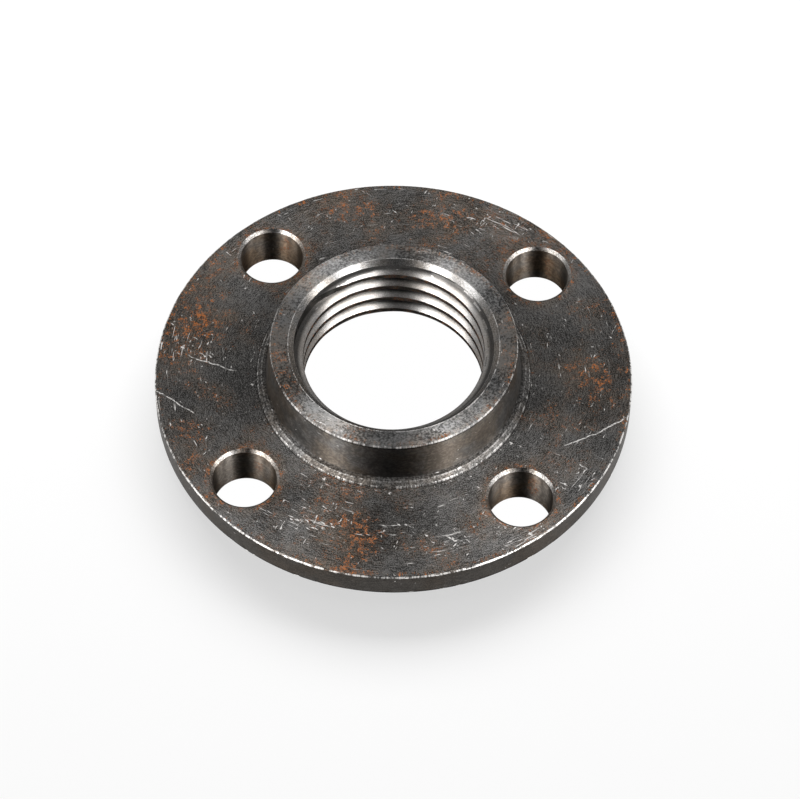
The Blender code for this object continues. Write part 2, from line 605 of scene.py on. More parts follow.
class Spot(Effect):
    """A soft ragged patch about a point, 1 at its middle and 0 past its reach."""

    title = "spot"
    takes = (
        Port("Point", "Vector"),
        Port("Centre", "Vector"),
        Port("Reach", "Vector"),
        Port("Ragged", "Float", 0.5),
    )
    gives = (Port("Mask"),)
    RAGGED: ClassVar[float] = 1.5
    CORE: ClassVar[float] = 0.1

    def draw(self, sheet: NodeSheet, given: dict[str, Wire]) -> dict[str, Wire]:
        """Draw the effect: the distance in shares of the reach, with its edge pushed in and out.

        Args:
            sheet: the group's sheet.
            given: the group's inputs by name.

        Returns:
            What feeds each of the group's outputs, by name.
        """
        away = sheet.vector("SUBTRACT", given["Point"], given["Centre"]).outputs[0]
        share = sheet.vector("DIVIDE", away, given["Reach"]).outputs[0]
        distance = sheet.vector("LENGTH", share).outputs["Value"]
        ragged = sheet.times(sheet.math("SUBTRACT", given["Ragged"], 0.5), self.RAGGED)
        return {"Mask": sheet.ease(sheet.math("ADD", distance, ragged), 1.0, self.CORE)}


class ScratchLine(Effect):
    """One thin scratch between two points, broken here and there."""

    title = "scratch_line"
    takes = (
        Port("Bent", "Vector"),
        Port("Start", "Vector"),
        Port("End", "Vector"),
        Port("Width", "Float", 0.3),
        Port("Broken", "Float", 0.5),
    )
    gives = (Port("Mask"),)
    CORE: ClassVar[float] = 0.35
    BROKEN_BAND: ClassVar[Band] = (0.36, 0.52)
    FAINTEST: ClassVar[float] = 0.25

    def draw(self, sheet: NodeSheet, given: dict[str, Wire]) -> dict[str, Wire]:
        """Draw the effect: how near the point is to the line between the scratch's ends.

        Args:
            sheet: the group's sheet.
            given: the group's inputs by name.

        Returns:
            What feeds each of the group's outputs, by name.
        """
        line = sheet.vector("SUBTRACT", given["End"], given["Start"]).outputs[0]
        away = sheet.vector("SUBTRACT", given["Bent"], given["Start"]).outputs[0]
        reach = sheet.vector("DOT_PRODUCT", away, line).outputs["Value"]
        length = sheet.vector("DOT_PRODUCT", line, line).outputs["Value"]
        share = sheet.math("DIVIDE", reach, length, clamp=True)
        from_line = sheet.vector("SUBTRACT", away, sheet.shade(line, share)).outputs[0]
        distance = sheet.vector("LENGTH", from_line).outputs["Value"]
        mask = sheet.ease(distance, given["Width"], sheet.times(given["Width"], self.CORE))
        return {"Mask": sheet.times(mask, sheet.ease(given["Broken"], *self.BROKEN_BAND, self.FAINTEST))}


class BrokenLine(Effect):
    """A line along a turned edge, broken up here and there; finishes use it for worn metal, for rust and for
    painted shade.
    """

    title = "broken_line"
    takes = (
        Port("Lathe", "Vector"),
        Port("Distance", "Float", 0.0),
        Port("Width", "Float", 0.4),
        Port("Broken", "Float", 0.5),
    )
    gives = (Port("Mask"),)
    FINE: ClassVar[Noise] = Noise(1.1, 3.0, 0.7)
    BROAD: ClassVar[Noise] = Noise(0.12, 2.0, 0.5)
    FINE_SHARE: ClassVar[float] = 0.65
    BROAD_SHARE: ClassVar[float] = 0.35
    WHOLE: ClassVar[float] = 0.22
    BREAKING: ClassVar[float] = 0.26
    EDGE: ClassVar[float] = 0.16
    CORE: ClassVar[float] = 0.4
    THINNEST: ClassVar[float] = 0.001

    def draw(self, sheet: NodeSheet, given: dict[str, Wire]) -> dict[str, Wire]:
        """Draw the effect: distance from the edge against a width that changes along it.

        Args:
            sheet: the group's sheet.
            given: the group's inputs by name.

        Returns:
            What feeds each of the group's outputs, by name.
        """
        x, y, _ = sheet.split(given["Lathe"])
        along = sheet.join(x, y)
        fine = sheet.times(self.FINE.draw(sheet, along), self.FINE_SHARE)
        broad = sheet.times(self.BROAD.draw(sheet, along), self.BROAD_SHARE)
        low = sheet.math("ADD", self.WHOLE, sheet.times(given["Broken"], self.BREAKING))
        kept = sheet.ease(sheet.math("ADD", fine, broad), low, sheet.math("ADD", low, self.EDGE))
        distance = sheet.math("ABSOLUTE", given["Distance"])
        width = sheet.math("MAXIMUM", sheet.times(given["Width"], kept), self.THINNEST)
        line = sheet.ease(distance, width, sheet.times(width, self.CORE))
        return {"Mask": sheet.times(line, kept)}


@dataclass(frozen=True)
class Patch:
    """A patch on the surface, in millimetres: its middle, its reach each way, and how strong it is."""

    centre: tuple[float, float, float]
    reach: tuple[float, float, float]
    strength: float = 1.0

    def draw(self, sheet: NodeSheet, point: Wire, ragged: Wire) -> Wire:
        """Give the patch's mask, up to its strength."""
        wires = {"Point": point, "Centre": self.centre, "Reach": self.reach, "Ragged": ragged}
        return sheet.times(Spot.place(sheet, wires)["Mask"], self.strength)


@dataclass(frozen=True)
class Scratch:
    """A scratch on the surface, in millimetres: its ends and its width."""

    start: tuple[float, float, float]
    end: tuple[float, float, float]
    width: float = 0.28

    def draw(self, sheet: NodeSheet, drift: dict[str, Wire]) -> Wire:
        """Give the scratch's mask."""
        wires = {"Bent": drift["Bent"], "Broken": drift["Broken"], "Start": self.start, "End": self.end}
        return ScratchLine.place(sheet, wires | {"Width": self.width})["Mask"]


@dataclass(frozen=True)
class EdgeLine:
    """A broken line along a turned edge, in millimetres, at a radius or at a height; finishes use it for
    worn metal, for rust and for painted shade.
    """

    at: float
    width: float
    broken: float = 0.5
    by_height: bool = False
    strength: float = 1.0

    def draw(self, sheet: NodeSheet, place: dict[str, Wire]) -> Wire:
        """Draw the line.

        Args:
            sheet: the material's sheet.
            place: where the point lies, by name.

        Returns:
            The line's mask, up to its strength.
        """
        where = place["Height"] if self.by_height else place["Radius"]
        distance = sheet.math("SUBTRACT", where, self.at)
        wires = {"Lathe": place["Lathe"], "Distance": distance, "Width": self.width, "Broken": self.broken}
        return sheet.times(BrokenLine.place(sheet, wires)["Mask"], self.strength)


@dataclass(frozen=True)
class SteelFinish:
    """Bare turned steel: its metal, grain, rust, nicks and edges, with painted sheen and painted shade where
    a zone is given them.

    The fields are in linear colour and in millimetres. A subclass adds marks of its own.
    """

    name: str
    dark: Colour = grey(0.042, 0.04)
    light: Colour = grey(0.265, 0.03)
    bare: Colour = grey(0.74, 0.03)
    warm_tint: Colour = (1.08, 0.84, 0.60, 1.0)
    warmth: float = 0.34
    tone_drift: float = 0.16
    roughness: float = 0.50
    roughness_spread: float = 0.10
    anisotropy: float = 0.7
    streak_length: float = 1.8
    streak_width: float = 0.30
    streak_share: float = 0.38
    speckle_size: float = 0.36
    grain_low: float = 0.41
    grain_high: float = 0.62
    grain_height: float = 0.020
    rust_cover: float = 0.24
    rust_size: float = 0.44
    blotch_size: float = 0.85
    nick_cover: float = 0.24
    nick_size: float = 0.5
    stroke_cover: float = 0.10
    stroke_slants: tuple[float, ...] = (0.5,)
    stroke_length: float = 3.4
    stroke_gap: float = 1.3
    turned_stroke_cover: float = 0.17
    turned_stroke_length: float = 7.5
    turned_stroke_gap: float = 0.75
    pit_cover: float = 0.16
    pit_shade: float = 0.6
    rust_patches: tuple[Patch, ...] = ()
    # Patches where nicks and strokes are thicker: real wear on the plate, a painted highlight on the hub's
    # face.
    nick_and_sheen_patches: tuple[Patch, ...] = ()
    # Dark patches; on the hub's wall and the holes' chamfers they are painted dark reflections.
    dark_patches: tuple[Patch, ...] = ()
    # Patches of painted sheen: the tone is lifted there, where the turned face's highlights fall.
    sheen_patches: tuple[Patch, ...] = ()
    scratches: tuple[Scratch, ...] = ()
    bright_edges: tuple[EdgeLine, ...] = ()
    # Dark lines along edges and creases: painted shade.
    painted_shade_edges: tuple[EdgeLine, ...] = ()
    rust_edges: tuple[EdgeLine, ...] = ()
    rust_dark: Colour = (0.055, 0.022, 0.009, 1.0)
    rust_bright: Colour = (0.25, 0.080, 0.018, 1.0)

    SPECKLE_DETAIL: ClassVar[float] = 2.0
    SPECKLE_ROUGHNESS: ClassVar[float] = 0.6
    DRIFT_BAND: ClassVar[Band] = (0.30, 0.70)
    SHEEN_BAND: ClassVar[Band] = (0.42, 0.62)
    SHEEN_SHARES: ClassVar[Band] = (0.35, 1.30)
    WARM_BAND: ClassVar[Band] = (0.42, 0.62)
    NICK_SHIFT: ClassVar[float] = 37.0
    NICK_GAIN: ClassVar[float] = 0.25
    NICK_STRENGTH: ClassVar[float] = 0.6
    STROKE_GAIN: ClassVar[float] = 0.7
    PIT_SHIFT: ClassVar[float] = 71.0
    SPREAD_BAND: ClassVar[Band] = (0.40, 0.66)
    SPREAD_SHARES: ClassVar[Band] = (0.55, 1.50)
    CLUMP_BAND: ClassVar[Band] = (0.36, 0.62)
    CLUMP_SHARES: ClassVar[Band] = (0.50, 1.15)
    BLOTCH_SHIFT: ClassVar[float] = 11.0
    BLOTCH_SHARE: ClassVar[float] = 0.30
    RUST_TONE_BAND: ClassVar[Band] = (0.42, 0.62)
    STAIN_SHARE: ClassVar[float] = 0.42
    RUST_RUBBED_OFF: ClassVar[float] = 0.7
    RUST_ROUGHER: ClassVar[float] = 0.3
    RUST_RELIEF: ClassVar[float] = 0.5
    BARE_SMOOTHER: ClassVar[float] = 0.08
    BARE_DULLER: ClassVar[float] = 0.4
    TANGENT_TURN: ClassVar[float] = 0.25

    def union(self, sheet: NodeSheet, masks: list[Wire]) -> Wire:
        """Give the strongest of some masks, or 0 where there is none."""
        return sheet.largest(*masks) if masks else 0.0

    def own_dark(self, sheet: NodeSheet, place: dict[str, Wire]) -> list[Wire]:
        """Masks of darkening that only this finish has; the thread's are painted shade."""
        return []

    def own_rust(self, sheet: NodeSheet, place: dict[str, Wire]) -> list[Wire]:
        """Masks of rust that only this finish has."""
        return []

    def patches(self, sheet: NodeSheet, place: dict[str, Wire], kind: tuple[Patch, ...]) -> list[Wire]:
        """Give the masks of some patches."""
        return [patch.draw(sheet, place["Point"], place["Ragged"]) for patch in kind]

    def edges(self, sheet: NodeSheet, place: dict[str, Wire], kind: tuple[EdgeLine, ...]) -> list[Wire]:
        """Give the masks of some worn lines."""
        return [line.draw(sheet, place) for line in kind]

    def grain(self, sheet: NodeSheet, place: dict[str, Wire]) -> Wire:
        """Draw the fine grain: turning marks and speckles together.

        Args:
            sheet: the material's sheet.
            place: where the point lies and how the surface drifts there, by name.

        Returns:
            The grain's value, about 0.5.
        """
        wires = {"Lathe": place["Lathe"], "Length": self.streak_length, "Width": self.streak_width}
        streak = sheet.times(LatheGrain.place(sheet, wires)["Streak"], self.streak_share)
        scale = 1.0 / self.speckle_size
        speckle = sheet.noise(place["Point"], scale, self.SPECKLE_DETAIL, self.SPECKLE_ROUGHNESS)
        return sheet.math("ADD", streak, sheet.times(speckle, 1.0 - self.streak_share))

    def metal(self, sheet: NodeSheet, place: dict[str, Wire], grain: Wire) -> Wire:
        """Draw the metal with its warm areas and its patches of painted sheen.

        Args:
            sheet: the material's sheet.
            place: where the point lies and how the surface drifts there, by name.
            grain: the grain's value.

        Returns:
            The metal's colour.
        """
        tone = sheet.ease(grain, self.grain_low, self.grain_high)
        drift = sheet.ease(place["Broad"], *self.DRIFT_BAND, -self.tone_drift, self.tone_drift)
        tone = sheet.math("ADD", tone, drift)
        # Painted sheen: lift the tone in the given patches, more on the light grain.
        if self.sheen_patches:
            sheen_mask = self.union(sheet, self.patches(sheet, place, self.sheen_patches))
            sheen_lift = sheet.times(sheen_mask, sheet.ease(grain, *self.SHEEN_BAND, *self.SHEEN_SHARES))
            tone = sheet.math("ADD", tone, sheen_lift)
        steel = sheet.blend(sheet.math("MAXIMUM", tone, 0.0), self.dark, self.light)
        warm = sheet.ease(place["Warm"], *self.WARM_BAND, 0.0, self.warmth)
        tint = sheet.blend(warm, grey(1.0), self.warm_tint)
        return sheet.vector("MULTIPLY", steel, tint).outputs[0]

    def dirt_and_painted_shade(self, sheet: NodeSheet, place: dict[str, Wire]) -> Wire:
        """Draw the darkening: dirt in pits, dark patches, and painted shade along edges and in the finish's
        own marks.

        Args:
            sheet: the material's sheet.
            place: where the point lies and how the surface drifts there, by name.

        Returns:
            The mask of the darkening.
        """
        point = place["Point"]
        wires = {"Point": point, "Size": self.rust_size, "Shift": self.PIT_SHIFT, "Cover": self.pit_cover}
        masks = [sheet.times(Flecks.place(sheet, wires)["Mask"], self.pit_shade)]
        masks += self.patches(sheet, place, self.dark_patches)
        masks += self.edges(sheet, place, self.painted_shade_edges)
        return self.union(sheet, masks + self.own_dark(sheet, place))

    def bared_and_sheen(self, sheet: NodeSheet, place: dict[str, Wire]) -> Wire:
        """Draw the bare bright metal: nicks, strokes, scratches and worn edges, thicker in the given
        patches, which on the hub's face are a painted highlight.

        Args:
            sheet: the material's sheet.
            place: where the point lies and how the surface drifts there, by name.

        Returns:
            The mask of the bare metal.
        """
        field = self.union(sheet, [0.0] + self.patches(sheet, place, self.nick_and_sheen_patches))
        point = place["Point"]
        cover = sheet.math("ADD", sheet.times(field, self.NICK_GAIN), self.nick_cover)
        wires = {"Point": point, "Size": self.nick_size, "Shift": self.NICK_SHIFT, "Cover": cover}
        masks = [sheet.times(Flecks.place(sheet, wires)["Mask"], self.NICK_STRENGTH)]
        cover = sheet.math("ADD", sheet.times(field, self.STROKE_GAIN), self.stroke_cover)
        reach = (self.stroke_length, self.stroke_gap, self.stroke_gap)
        wires = {"Point": point, "Reach": reach, "Cover": cover}
        masks += [Strokes.place(sheet, wires | {"Slant": slant})["Mask"] for slant in self.stroke_slants]
        cover = sheet.math("ADD", field, self.turned_stroke_cover)
        reach = (self.turned_stroke_length, self.turned_stroke_length, self.turned_stroke_gap)
        wires = {"Point": place["Lathe"], "Reach": reach, "Cover": cover}
        masks.append(Strokes.place(sheet, wires)["Mask"])
        masks += [scratch.draw(sheet, place) for scratch in self.scratches]
        return self.union(sheet, masks + self.edges(sheet, place, self.bright_edges))

    def rusted(self, sheet: NodeSheet, place: dict[str, Wire]) -> tuple[Wire, Wire, Wire]:
        """Draw the rust: freckles everywhere, and patches that also stain the metal.

        Args:
            sheet: the material's sheet.
            place: where the point lies and how the surface drifts there, by name.

        Returns:
            How strongly the surface is stained, the mask of its rust, and the rust's colour.
        """
        areas = self.patches(sheet, place, self.rust_patches) + self.own_rust(sheet, place)
        area = self.union(sheet, areas + self.edges(sheet, place, self.rust_edges))
        least, most = (self.rust_cover * share for share in self.SPREAD_SHARES)
        spread = sheet.ease(place["Warm"], *self.SPREAD_BAND, least, most)
        clump = sheet.ease(place["Clump"], *self.CLUMP_BAND, *self.CLUMP_SHARES)
        cover = sheet.times(sheet.math("MAXIMUM", spread, area), clump)
        point = place["Point"]
        freckles = Flecks.place(sheet, {"Point": point, "Size": self.rust_size, "Cover": cover})
        core = sheet.times(area, clump, self.BLOTCH_SHARE)
        wires = {"Point": point, "Size": self.blotch_size, "Shift": self.BLOTCH_SHIFT, "Cover": core}
        mask = sheet.math("MAXIMUM", freckles["Mask"], Flecks.place(sheet, wires)["Mask"])
        tone = sheet.ease(freckles["Tone"], *self.RUST_TONE_BAND)
        return area, mask, sheet.blend(tone, self.rust_dark, self.rust_bright)

    def rough(self, sheet: NodeSheet, grain: Wire, bright: Wire, rust: Wire) -> Wire:
        """Work out the roughness: smoother on bare metal, rougher on rust.

        Args:
            sheet: the material's sheet.
            grain: the grain's value.
            bright: the mask of bare metal.
            rust: the mask of rust.

        Returns:
            The roughness.
        """
        spread = sheet.times(sheet.math("SUBTRACT", grain, 0.5), self.roughness_spread * 2.0)
        rough = sheet.math("ADD", spread, self.roughness)
        rough = sheet.math("SUBTRACT", rough, sheet.times(bright, self.BARE_SMOOTHER))
        return sheet.math("ADD", rough, sheet.times(rust, self.RUST_ROUGHER), clamp=True)

    def build(self) -> bpy.types.Material:
        """Build the finish.

        Returns:
            A new material, with every effect in colour, roughness and relief.
        """
        material = bpy.data.materials.new(self.name)
        material.use_nodes = True
        sheet = NodeSheet(material.node_tree)
        place = FlangePlace.place(sheet)
        place |= Drift.place(sheet, {"Point": place["Point"]})

        grain = self.grain(sheet, place)
        bright = self.bared_and_sheen(sheet, place)
        area, rust, rust_colour = self.rusted(sheet, place)
        steel = sheet.shade(self.metal(sheet, place, grain), sheet.rest(self.dirt_and_painted_shade(sheet, place)))
        stained = sheet.vector("MULTIPLY", steel, self.warm_tint[:3]).outputs[0]
        steel = sheet.blend(sheet.times(area, self.STAIN_SHARE), steel, stained)
        steel = sheet.blend(bright, steel, self.bare)
        rust = sheet.times(rust, sheet.rest(sheet.times(bright, self.RUST_RUBBED_OFF)))
        duller = sheet.rest(sheet.times(bright, self.BARE_DULLER))
        relief = sheet.math("ADD", grain, sheet.times(rust, self.RUST_RELIEF))
        wires = {"Strength": 1.0, "Distance": self.grain_height * MM, "Height": relief}
        shader = sheet.add(
            "ShaderNodeBsdfPrincipled",
            {
                "Base Color": sheet.blend(rust, steel, rust_colour),
                "Roughness": self.rough(sheet, grain, bright, rust),
                "Metallic": sheet.times(sheet.rest(rust), duller),
                "Normal": sheet.add("ShaderNodeBump", wires).outputs[0],
                "Tangent": sheet.add("ShaderNodeTangent", direction_type="RADIAL", axis="Z").outputs[0],
                "Anisotropic": self.anisotropy,
                "Anisotropic Rotation": self.TANGENT_TURN,
            },
        )
        sheet.add("ShaderNodeOutputMaterial", {"Surface": shader.outputs[0]})
        return material


@dataclass(frozen=True)
class PlateFinish(SteelFinish):
    """The plate's face: as the rest, with more rust close round the bolt holes."""

    ring_reach: float = 4.5
    ring_strength: float = 0.7

    def own_rust(self, sheet: NodeSheet, place: dict[str, Wire]) -> list[Wire]:
        """Draw the rusty ring round each bolt hole.

        Args:
            sheet: the material's sheet.
            place: where the point lies and how the surface drifts there, by name.

        Returns:
            The ring's mask.
        """
        wires = {"Point": place["Point"], "Offset": SIZES.bolt_offset / MM}
        distance = HolePlace.place(sheet, wires)["Distance"]
        edge = (SIZES.bolt_hole_radius + SIZES.bolt_hole_chamfer) / MM
        return [sheet.ease(distance, edge + self.ring_reach, edge, 0.0, self.ring_strength)]


@dataclass(frozen=True)
class HoleWallFinish(SteelFinish):
    """The drilled wall of a bolt hole: satin, with one rust stain."""

    stain: Patch = Patch((3.2, 8.8, 8.0), (3.2, 5.0, 9.0))

    def own_rust(self, sheet: NodeSheet, place: dict[str, Wire]) -> list[Wire]:
        """Give the stain that each hole has on its far side."""
        wires = {"Point": place["Point"], "Offset": SIZES.bolt_offset / MM}
        return [self.stain.draw(sheet, HolePlace.place(sheet, wires)["Local"], place["Ragged"])]


@dataclass(frozen=True)
class ThreadFinish(SteelFinish):
    """The cut thread: bright flanks, tan crests darkened by painted shade between two lines of painted
    shade, and painted shade towards the root.
    """

    # The crest, line and root shades are painted shade.
    crest_shade: float = 0.35
    crest_stain: float = 0.55
    crest_reach: Band = (1.0, 0.6)
    crest_softness: float = 0.05
    line_shade: float = 0.85
    line_width: float = 0.24
    line_core: float = 0.3
    root_shade: float = 0.8
    root_from: float = 0.7
    root_to: float = 2.0

    def below_crest_edge(self, sheet: NodeSheet, place: dict[str, Wire]) -> Wire:
        """Work out how far a point lies below the upper edge of the crest above it.

        Args:
            sheet: the material's sheet.
            place: where the point lies, by name.

        Returns:
            The distance down.
        """
        drop = sheet.math("SUBTRACT", (SIZES.top - SIZES.thread_drop) / MM, place["Height"])
        turns = sheet.math("ADD", sheet.math("DIVIDE", drop, SIZES.thread_pitch / MM), place["Turn"])
        return sheet.times(sheet.math("FRACT", turns), SIZES.thread_pitch / MM)

    def inside(self, sheet: NodeSheet, place: dict[str, Wire]) -> Wire:
        """Give 1 near the thread's inner radius, and 0 down in the groove."""
        inner = SIZES.crest_radius / MM
        return sheet.ease(place["Radius"], *(inner + reach for reach in self.crest_reach))

    def crest(self, sheet: NodeSheet, place: dict[str, Wire]) -> Wire:
        """Draw the crests.

        Args:
            sheet: the material's sheet.
            place: where the point lies, by name.

        Returns:
            The crests' mask.
        """
        flat = SIZES.crest_flat / MM
        below = self.below_crest_edge(sheet, place)
        band = sheet.ease(below, flat + self.crest_softness, flat - self.crest_softness)
        return sheet.times(band, self.inside(sheet, place))

    def own_dark(self, sheet: NodeSheet, place: dict[str, Wire]) -> list[Wire]:
        """Draw painted shade: on the crests, in a line along each of their edges, and down in the groove.

        Args:
            sheet: the material's sheet.
            place: where the point lies, by name.

        Returns:
            The three masks.
        """
        half_flat = SIZES.crest_flat / MM / 2
        crest = sheet.times(self.crest(sheet, place), self.crest_shade)
        from_middle = sheet.distance(self.below_crest_edge(sheet, place), half_flat)
        from_edge = sheet.distance(from_middle, half_flat)
        line = sheet.ease(from_edge, self.line_width, self.line_width * self.line_core, 0.0, self.line_shade)
        depth = sheet.math("SUBTRACT", place["Radius"], SIZES.crest_radius / MM)
        root = sheet.ease(depth, self.root_from, self.root_to, 0.0, self.root_shade)
        return [crest, sheet.times(line, self.inside(sheet, place)), root]

    def own_rust(self, sheet: NodeSheet, place: dict[str, Wire]) -> list[Wire]:
        """Give the tan stain along the crests."""
        return [sheet.times(self.crest(sheet, place), self.crest_stain)]


class Zone(Enum):
    """The parts of the forging's surface that are finished differently."""

    PLATE = 0
    RIM = 1
    COLLAR = 2
    HUB_WALL = 3
    HUB_FACE = 4
    LEAD_IN = 5
    THREAD = 6
    HOLE_WALL = 7
    HOLE_EDGE = 8
    UNDERSIDE = 9


def patches_at(height: float, *rows: tuple[float, ...], thickness: float = 9.0) -> tuple[Patch, ...]:
    """Give patches that all lie at one height.

    Args:
        height: the middle of every patch, in millimetres.
        rows: for each patch the X and Y of its middle, its reach along X and Y, and its strength.
        thickness: the reach of every patch up and down.

    Returns:
        The patches.
    """
    return tuple(
        Patch((x, y, height), (reach_x, reach_y, thickness), strength)
        for x, y, reach_x, reach_y, strength in rows
    )


def plate_finishes() -> dict[Zone, SteelFinish]:
    """Give the finishes of the plate: its face, its rim and its underside.

    Returns:
        The finish of each zone.
    """
    plate = SIZES.plate_thickness / MM
    rim = SIZES.rim_radius / MM
    collar = SIZES.collar_radius / MM
    face = PlateFinish(
        "plate_steel",
        rust_patches=patches_at(
            plate,
            (-64.0, 15.0, 18.0, 24.0, 0.80),
            (-19.3, 63.2, 24.0, 13.0, 0.72),
            (10.0, 62.6, 22.0, 13.0, 0.74),
            (62.8, 3.1, 18.0, 19.0, 0.74),
            (70.5, 17.1, 6.0, 12.0, 0.60),
            (68.9, -4.2, 7.0, 9.0, 0.60),
            (-7.0, -61.5, 16.0, 20.0, 0.78),
            (-7.2, -73.0, 11.0, 6.0, 0.85),
            (-62.7, -28.4, 15.0, 13.0, 0.66),
        ),
        rust_cover=0.43,
        stroke_slants=(0.55, 2.0),
        nick_and_sheen_patches=patches_at(
            plate,
            (-64.8, 3.8, 15.0, 12.0, 0.46),
            (62.0, -34.7, 11.0, 10.0, 0.44),
            (-19.6, -56.1, 18.0, 9.0, 0.44),
            (29.6, 61.2, 20.0, 10.0, 0.38),
            (46.7, -57.0, 20.0, 10.0, 0.44),
            (15.0, -60.0, 20.0, 10.0, 0.30),
        ),
        # Painted sheen: lighter patches where the turned face's highlights fall.
        sheen_patches=patches_at(
            plate,
            (46.4, -57.8, 24.0, 14.0, 0.14),
            (-50.0, 30.0, 20.0, 26.0, 0.45),
            (49.0, 36.0, 20.0, 22.0, 0.25),
            (56.0, -24.0, 16.0, 16.0, 0.22),
        ),
        dark_patches=patches_at(
            plate,
            (-5.0, -57.0, 20.0, 17.0, 0.36),
            (-30.0, -50.0, 20.0, 16.0, 0.28),
        ),
        scratches=(
            Scratch((-73.3, -12.6, plate), (-61.5, -20.0, plate), 0.25),
            Scratch((-62.5, 0.9, plate), (-49.4, -3.4, plate), 0.25),
            Scratch((73.9, -10.2, plate), (65.7, -16.5, plate), 0.25),
            Scratch((65.7, -16.5, plate), (55.2, -22.6, plate), 0.26),
        ),
        bright_edges=(EdgeLine(rim - 0.15, 0.36, 0.62, strength=0.9),),
        rust_edges=(EdgeLine(rim - 1.3, 1.2, 0.8, strength=0.8),),
        # Painted shade in the crease where the plate meets the collar.
        painted_shade_edges=(EdgeLine(collar + 0.1, 0.5, 0.0, strength=0.5),),
    )
    wall = SteelFinish(
        "rim_steel",
        dark=grey(0.04, 0.10),
        light=grey(0.09, 0.10),
        anisotropy=0.4,
        rust_cover=0.16,
        stroke_cover=0.04,
        turned_stroke_cover=0.05,
        nick_cover=0.10,
        bright_edges=(EdgeLine(plate - 0.5, 0.26, 0.75, by_height=True, strength=0.9),),
        # Painted shade along the rim wall's lower edge, where it turns down.
        painted_shade_edges=(EdgeLine(SIZES.rim_bevel_height / MM, 0.5, 0.1, by_height=True),),
    )
    underside = SteelFinish("underside_steel", light=grey(0.15, 0.05), rust_cover=0.30)
    return {Zone.PLATE: face, Zone.RIM: wall, Zone.UNDERSIDE: underside}


def hub_finishes() -> dict[Zone, SteelFinish]:
    """Give the finishes of the hub: the collar at its foot, its wall and its face.

    Returns:
        The finish of each zone.
    """
    top = SIZES.top / MM
    collar = SIZES.collar_radius / MM
    foot = SIZES.hub_foot_radius / MM
    face_edge = SIZES.hub_top_radius / MM
    mouth = SIZES.mouth_radius / MM
    wall_middle = 23.0
    ring = SteelFinish(
        "collar_steel",
        dark=grey(0.06, 0.04),
        light=grey(0.24, 0.03),
        nick_cover=0.14,
        streak_share=0.4,
        speckle_size=0.6,
        rust_cover=0.2,
        grain_height=0.01,
        bright_edges=(
            EdgeLine(collar - 0.1, 0.3, 0.85, strength=0.8),
            EdgeLine(collar - SIZES.collar_bevel / MM, 0.35, 0.8, strength=0.35),
        ),
        # Painted shade in the crease at the hub's foot.
        painted_shade_edges=(EdgeLine(foot, 0.8, 0.0, strength=0.5),),
    )
    wall = SteelFinish(
        "hub_wall_steel",
        dark=grey(0.085, 0.05),
        light=grey(0.15, 0.05),
        warmth=0.5,
        anisotropy=1.0,
        roughness=0.45,
        roughness_spread=0.03,
        grain_height=0.005,
        tone_drift=0.3,
        rust_cover=0.10,
        nick_cover=0.03,
        stroke_cover=0.0,
        turned_stroke_cover=0.0,
        pit_cover=0.12,
        bright_edges=(EdgeLine(top - 0.7, 0.2, 0.8, by_height=True, strength=0.7),),
        # Painted dark reflection: three patches on the side of the wall that faces the camera.
        dark_patches=(
            Patch((-29.0, -27.5, wall_middle), (9.0, 9.0, 14.0), 0.6),
            Patch((32.0, -24.5, wall_middle), (9.0, 9.0, 14.0), 0.45),
            Patch((2.7, -39.5, wall_middle), (11.0, 8.0, 16.0), 0.35),
        ),
        # Painted shade in a line just under the hub's top edge.
        painted_shade_edges=(EdgeLine(top - 1.05, 0.35, 0.3, by_height=True, strength=0.6),),
        streak_share=0.5,
        speckle_size=1.0,
        rust_size=1.0,
    )
    face = SteelFinish(
        "hub_face_steel",
        dark=grey(0.08, 0.01),
        light=grey(0.38, 0.01),
        warmth=0.3,
        roughness=0.56,
        anisotropy=0.95,
        speckle_size=0.75,
        streak_share=0.45,
        grain_low=0.36,
        grain_high=0.66,
        rust_cover=0.40,
        nick_cover=0.24,
        pit_cover=0.10,
        turned_stroke_cover=0.12,
        # Painted highlight: thicker bare nicks and strokes in two patches towards the camera.
        nick_and_sheen_patches=patches_at(top, (-20.4, -28.5, 9.0, 7.0, 0.5), (17.0, -31.0, 8.0, 6.0, 0.3)),
        grain_height=0.012,
        tone_drift=0.35,
        rust_edges=(EdgeLine(face_edge - 1.0, 1.6, 0.8, strength=0.75),),
        bright_edges=(
            EdgeLine(face_edge - 0.12, 0.26, 0.8, strength=0.8),
            EdgeLine(mouth + 0.12, 0.24, 0.7, strength=0.7),
        ),
        # Painted sheen: lighter patches where the face's highlights fall.
        sheen_patches=patches_at(
            top,
            (-20.4, -28.5, 12.0, 8.0, 1.0),
            (18.0, -30.0, 10.0, 8.0, 0.35),
            (34.0, 6.0, 9.0, 26.0, 0.7),
            (-34.0, 4.0, 9.0, 26.0, 0.65),
        ),
    )
    return {Zone.COLLAR: ring, Zone.HUB_WALL: wall, Zone.HUB_FACE: face}


def bore_finishes() -> dict[Zone, SteelFinish]:
    """Give the finishes of the bore: its two lead-ins and its thread.

    Returns:
        The finish of each zone.
    """
    lead_in = SteelFinish(
        "lead_in_steel",
        dark=grey(0.17, 0.02),
        light=grey(0.40, 0.02),
        rust_cover=0.05,
        stroke_cover=0.0,
        nick_cover=0.04,
        pit_cover=0.08,
        roughness=0.31,
        roughness_spread=0.05,
        turned_stroke_cover=0.0,
        grain_height=0.004,
    )
    thread = ThreadFinish(
        "thread_steel",
        dark=grey(0.36, 0.03),
        light=grey(0.56, 0.03),
        roughness=0.30,
        roughness_spread=0.02,
        anisotropy=0.7,
        warmth=0.2,
        grain_height=0.002,
        rust_cover=0.03,
        nick_cover=0.0,
        stroke_cover=0.0,
        turned_stroke_cover=0.0,
        pit_cover=0.05,
    )
    return {Zone.LEAD_IN: lead_in, Zone.THREAD: thread}


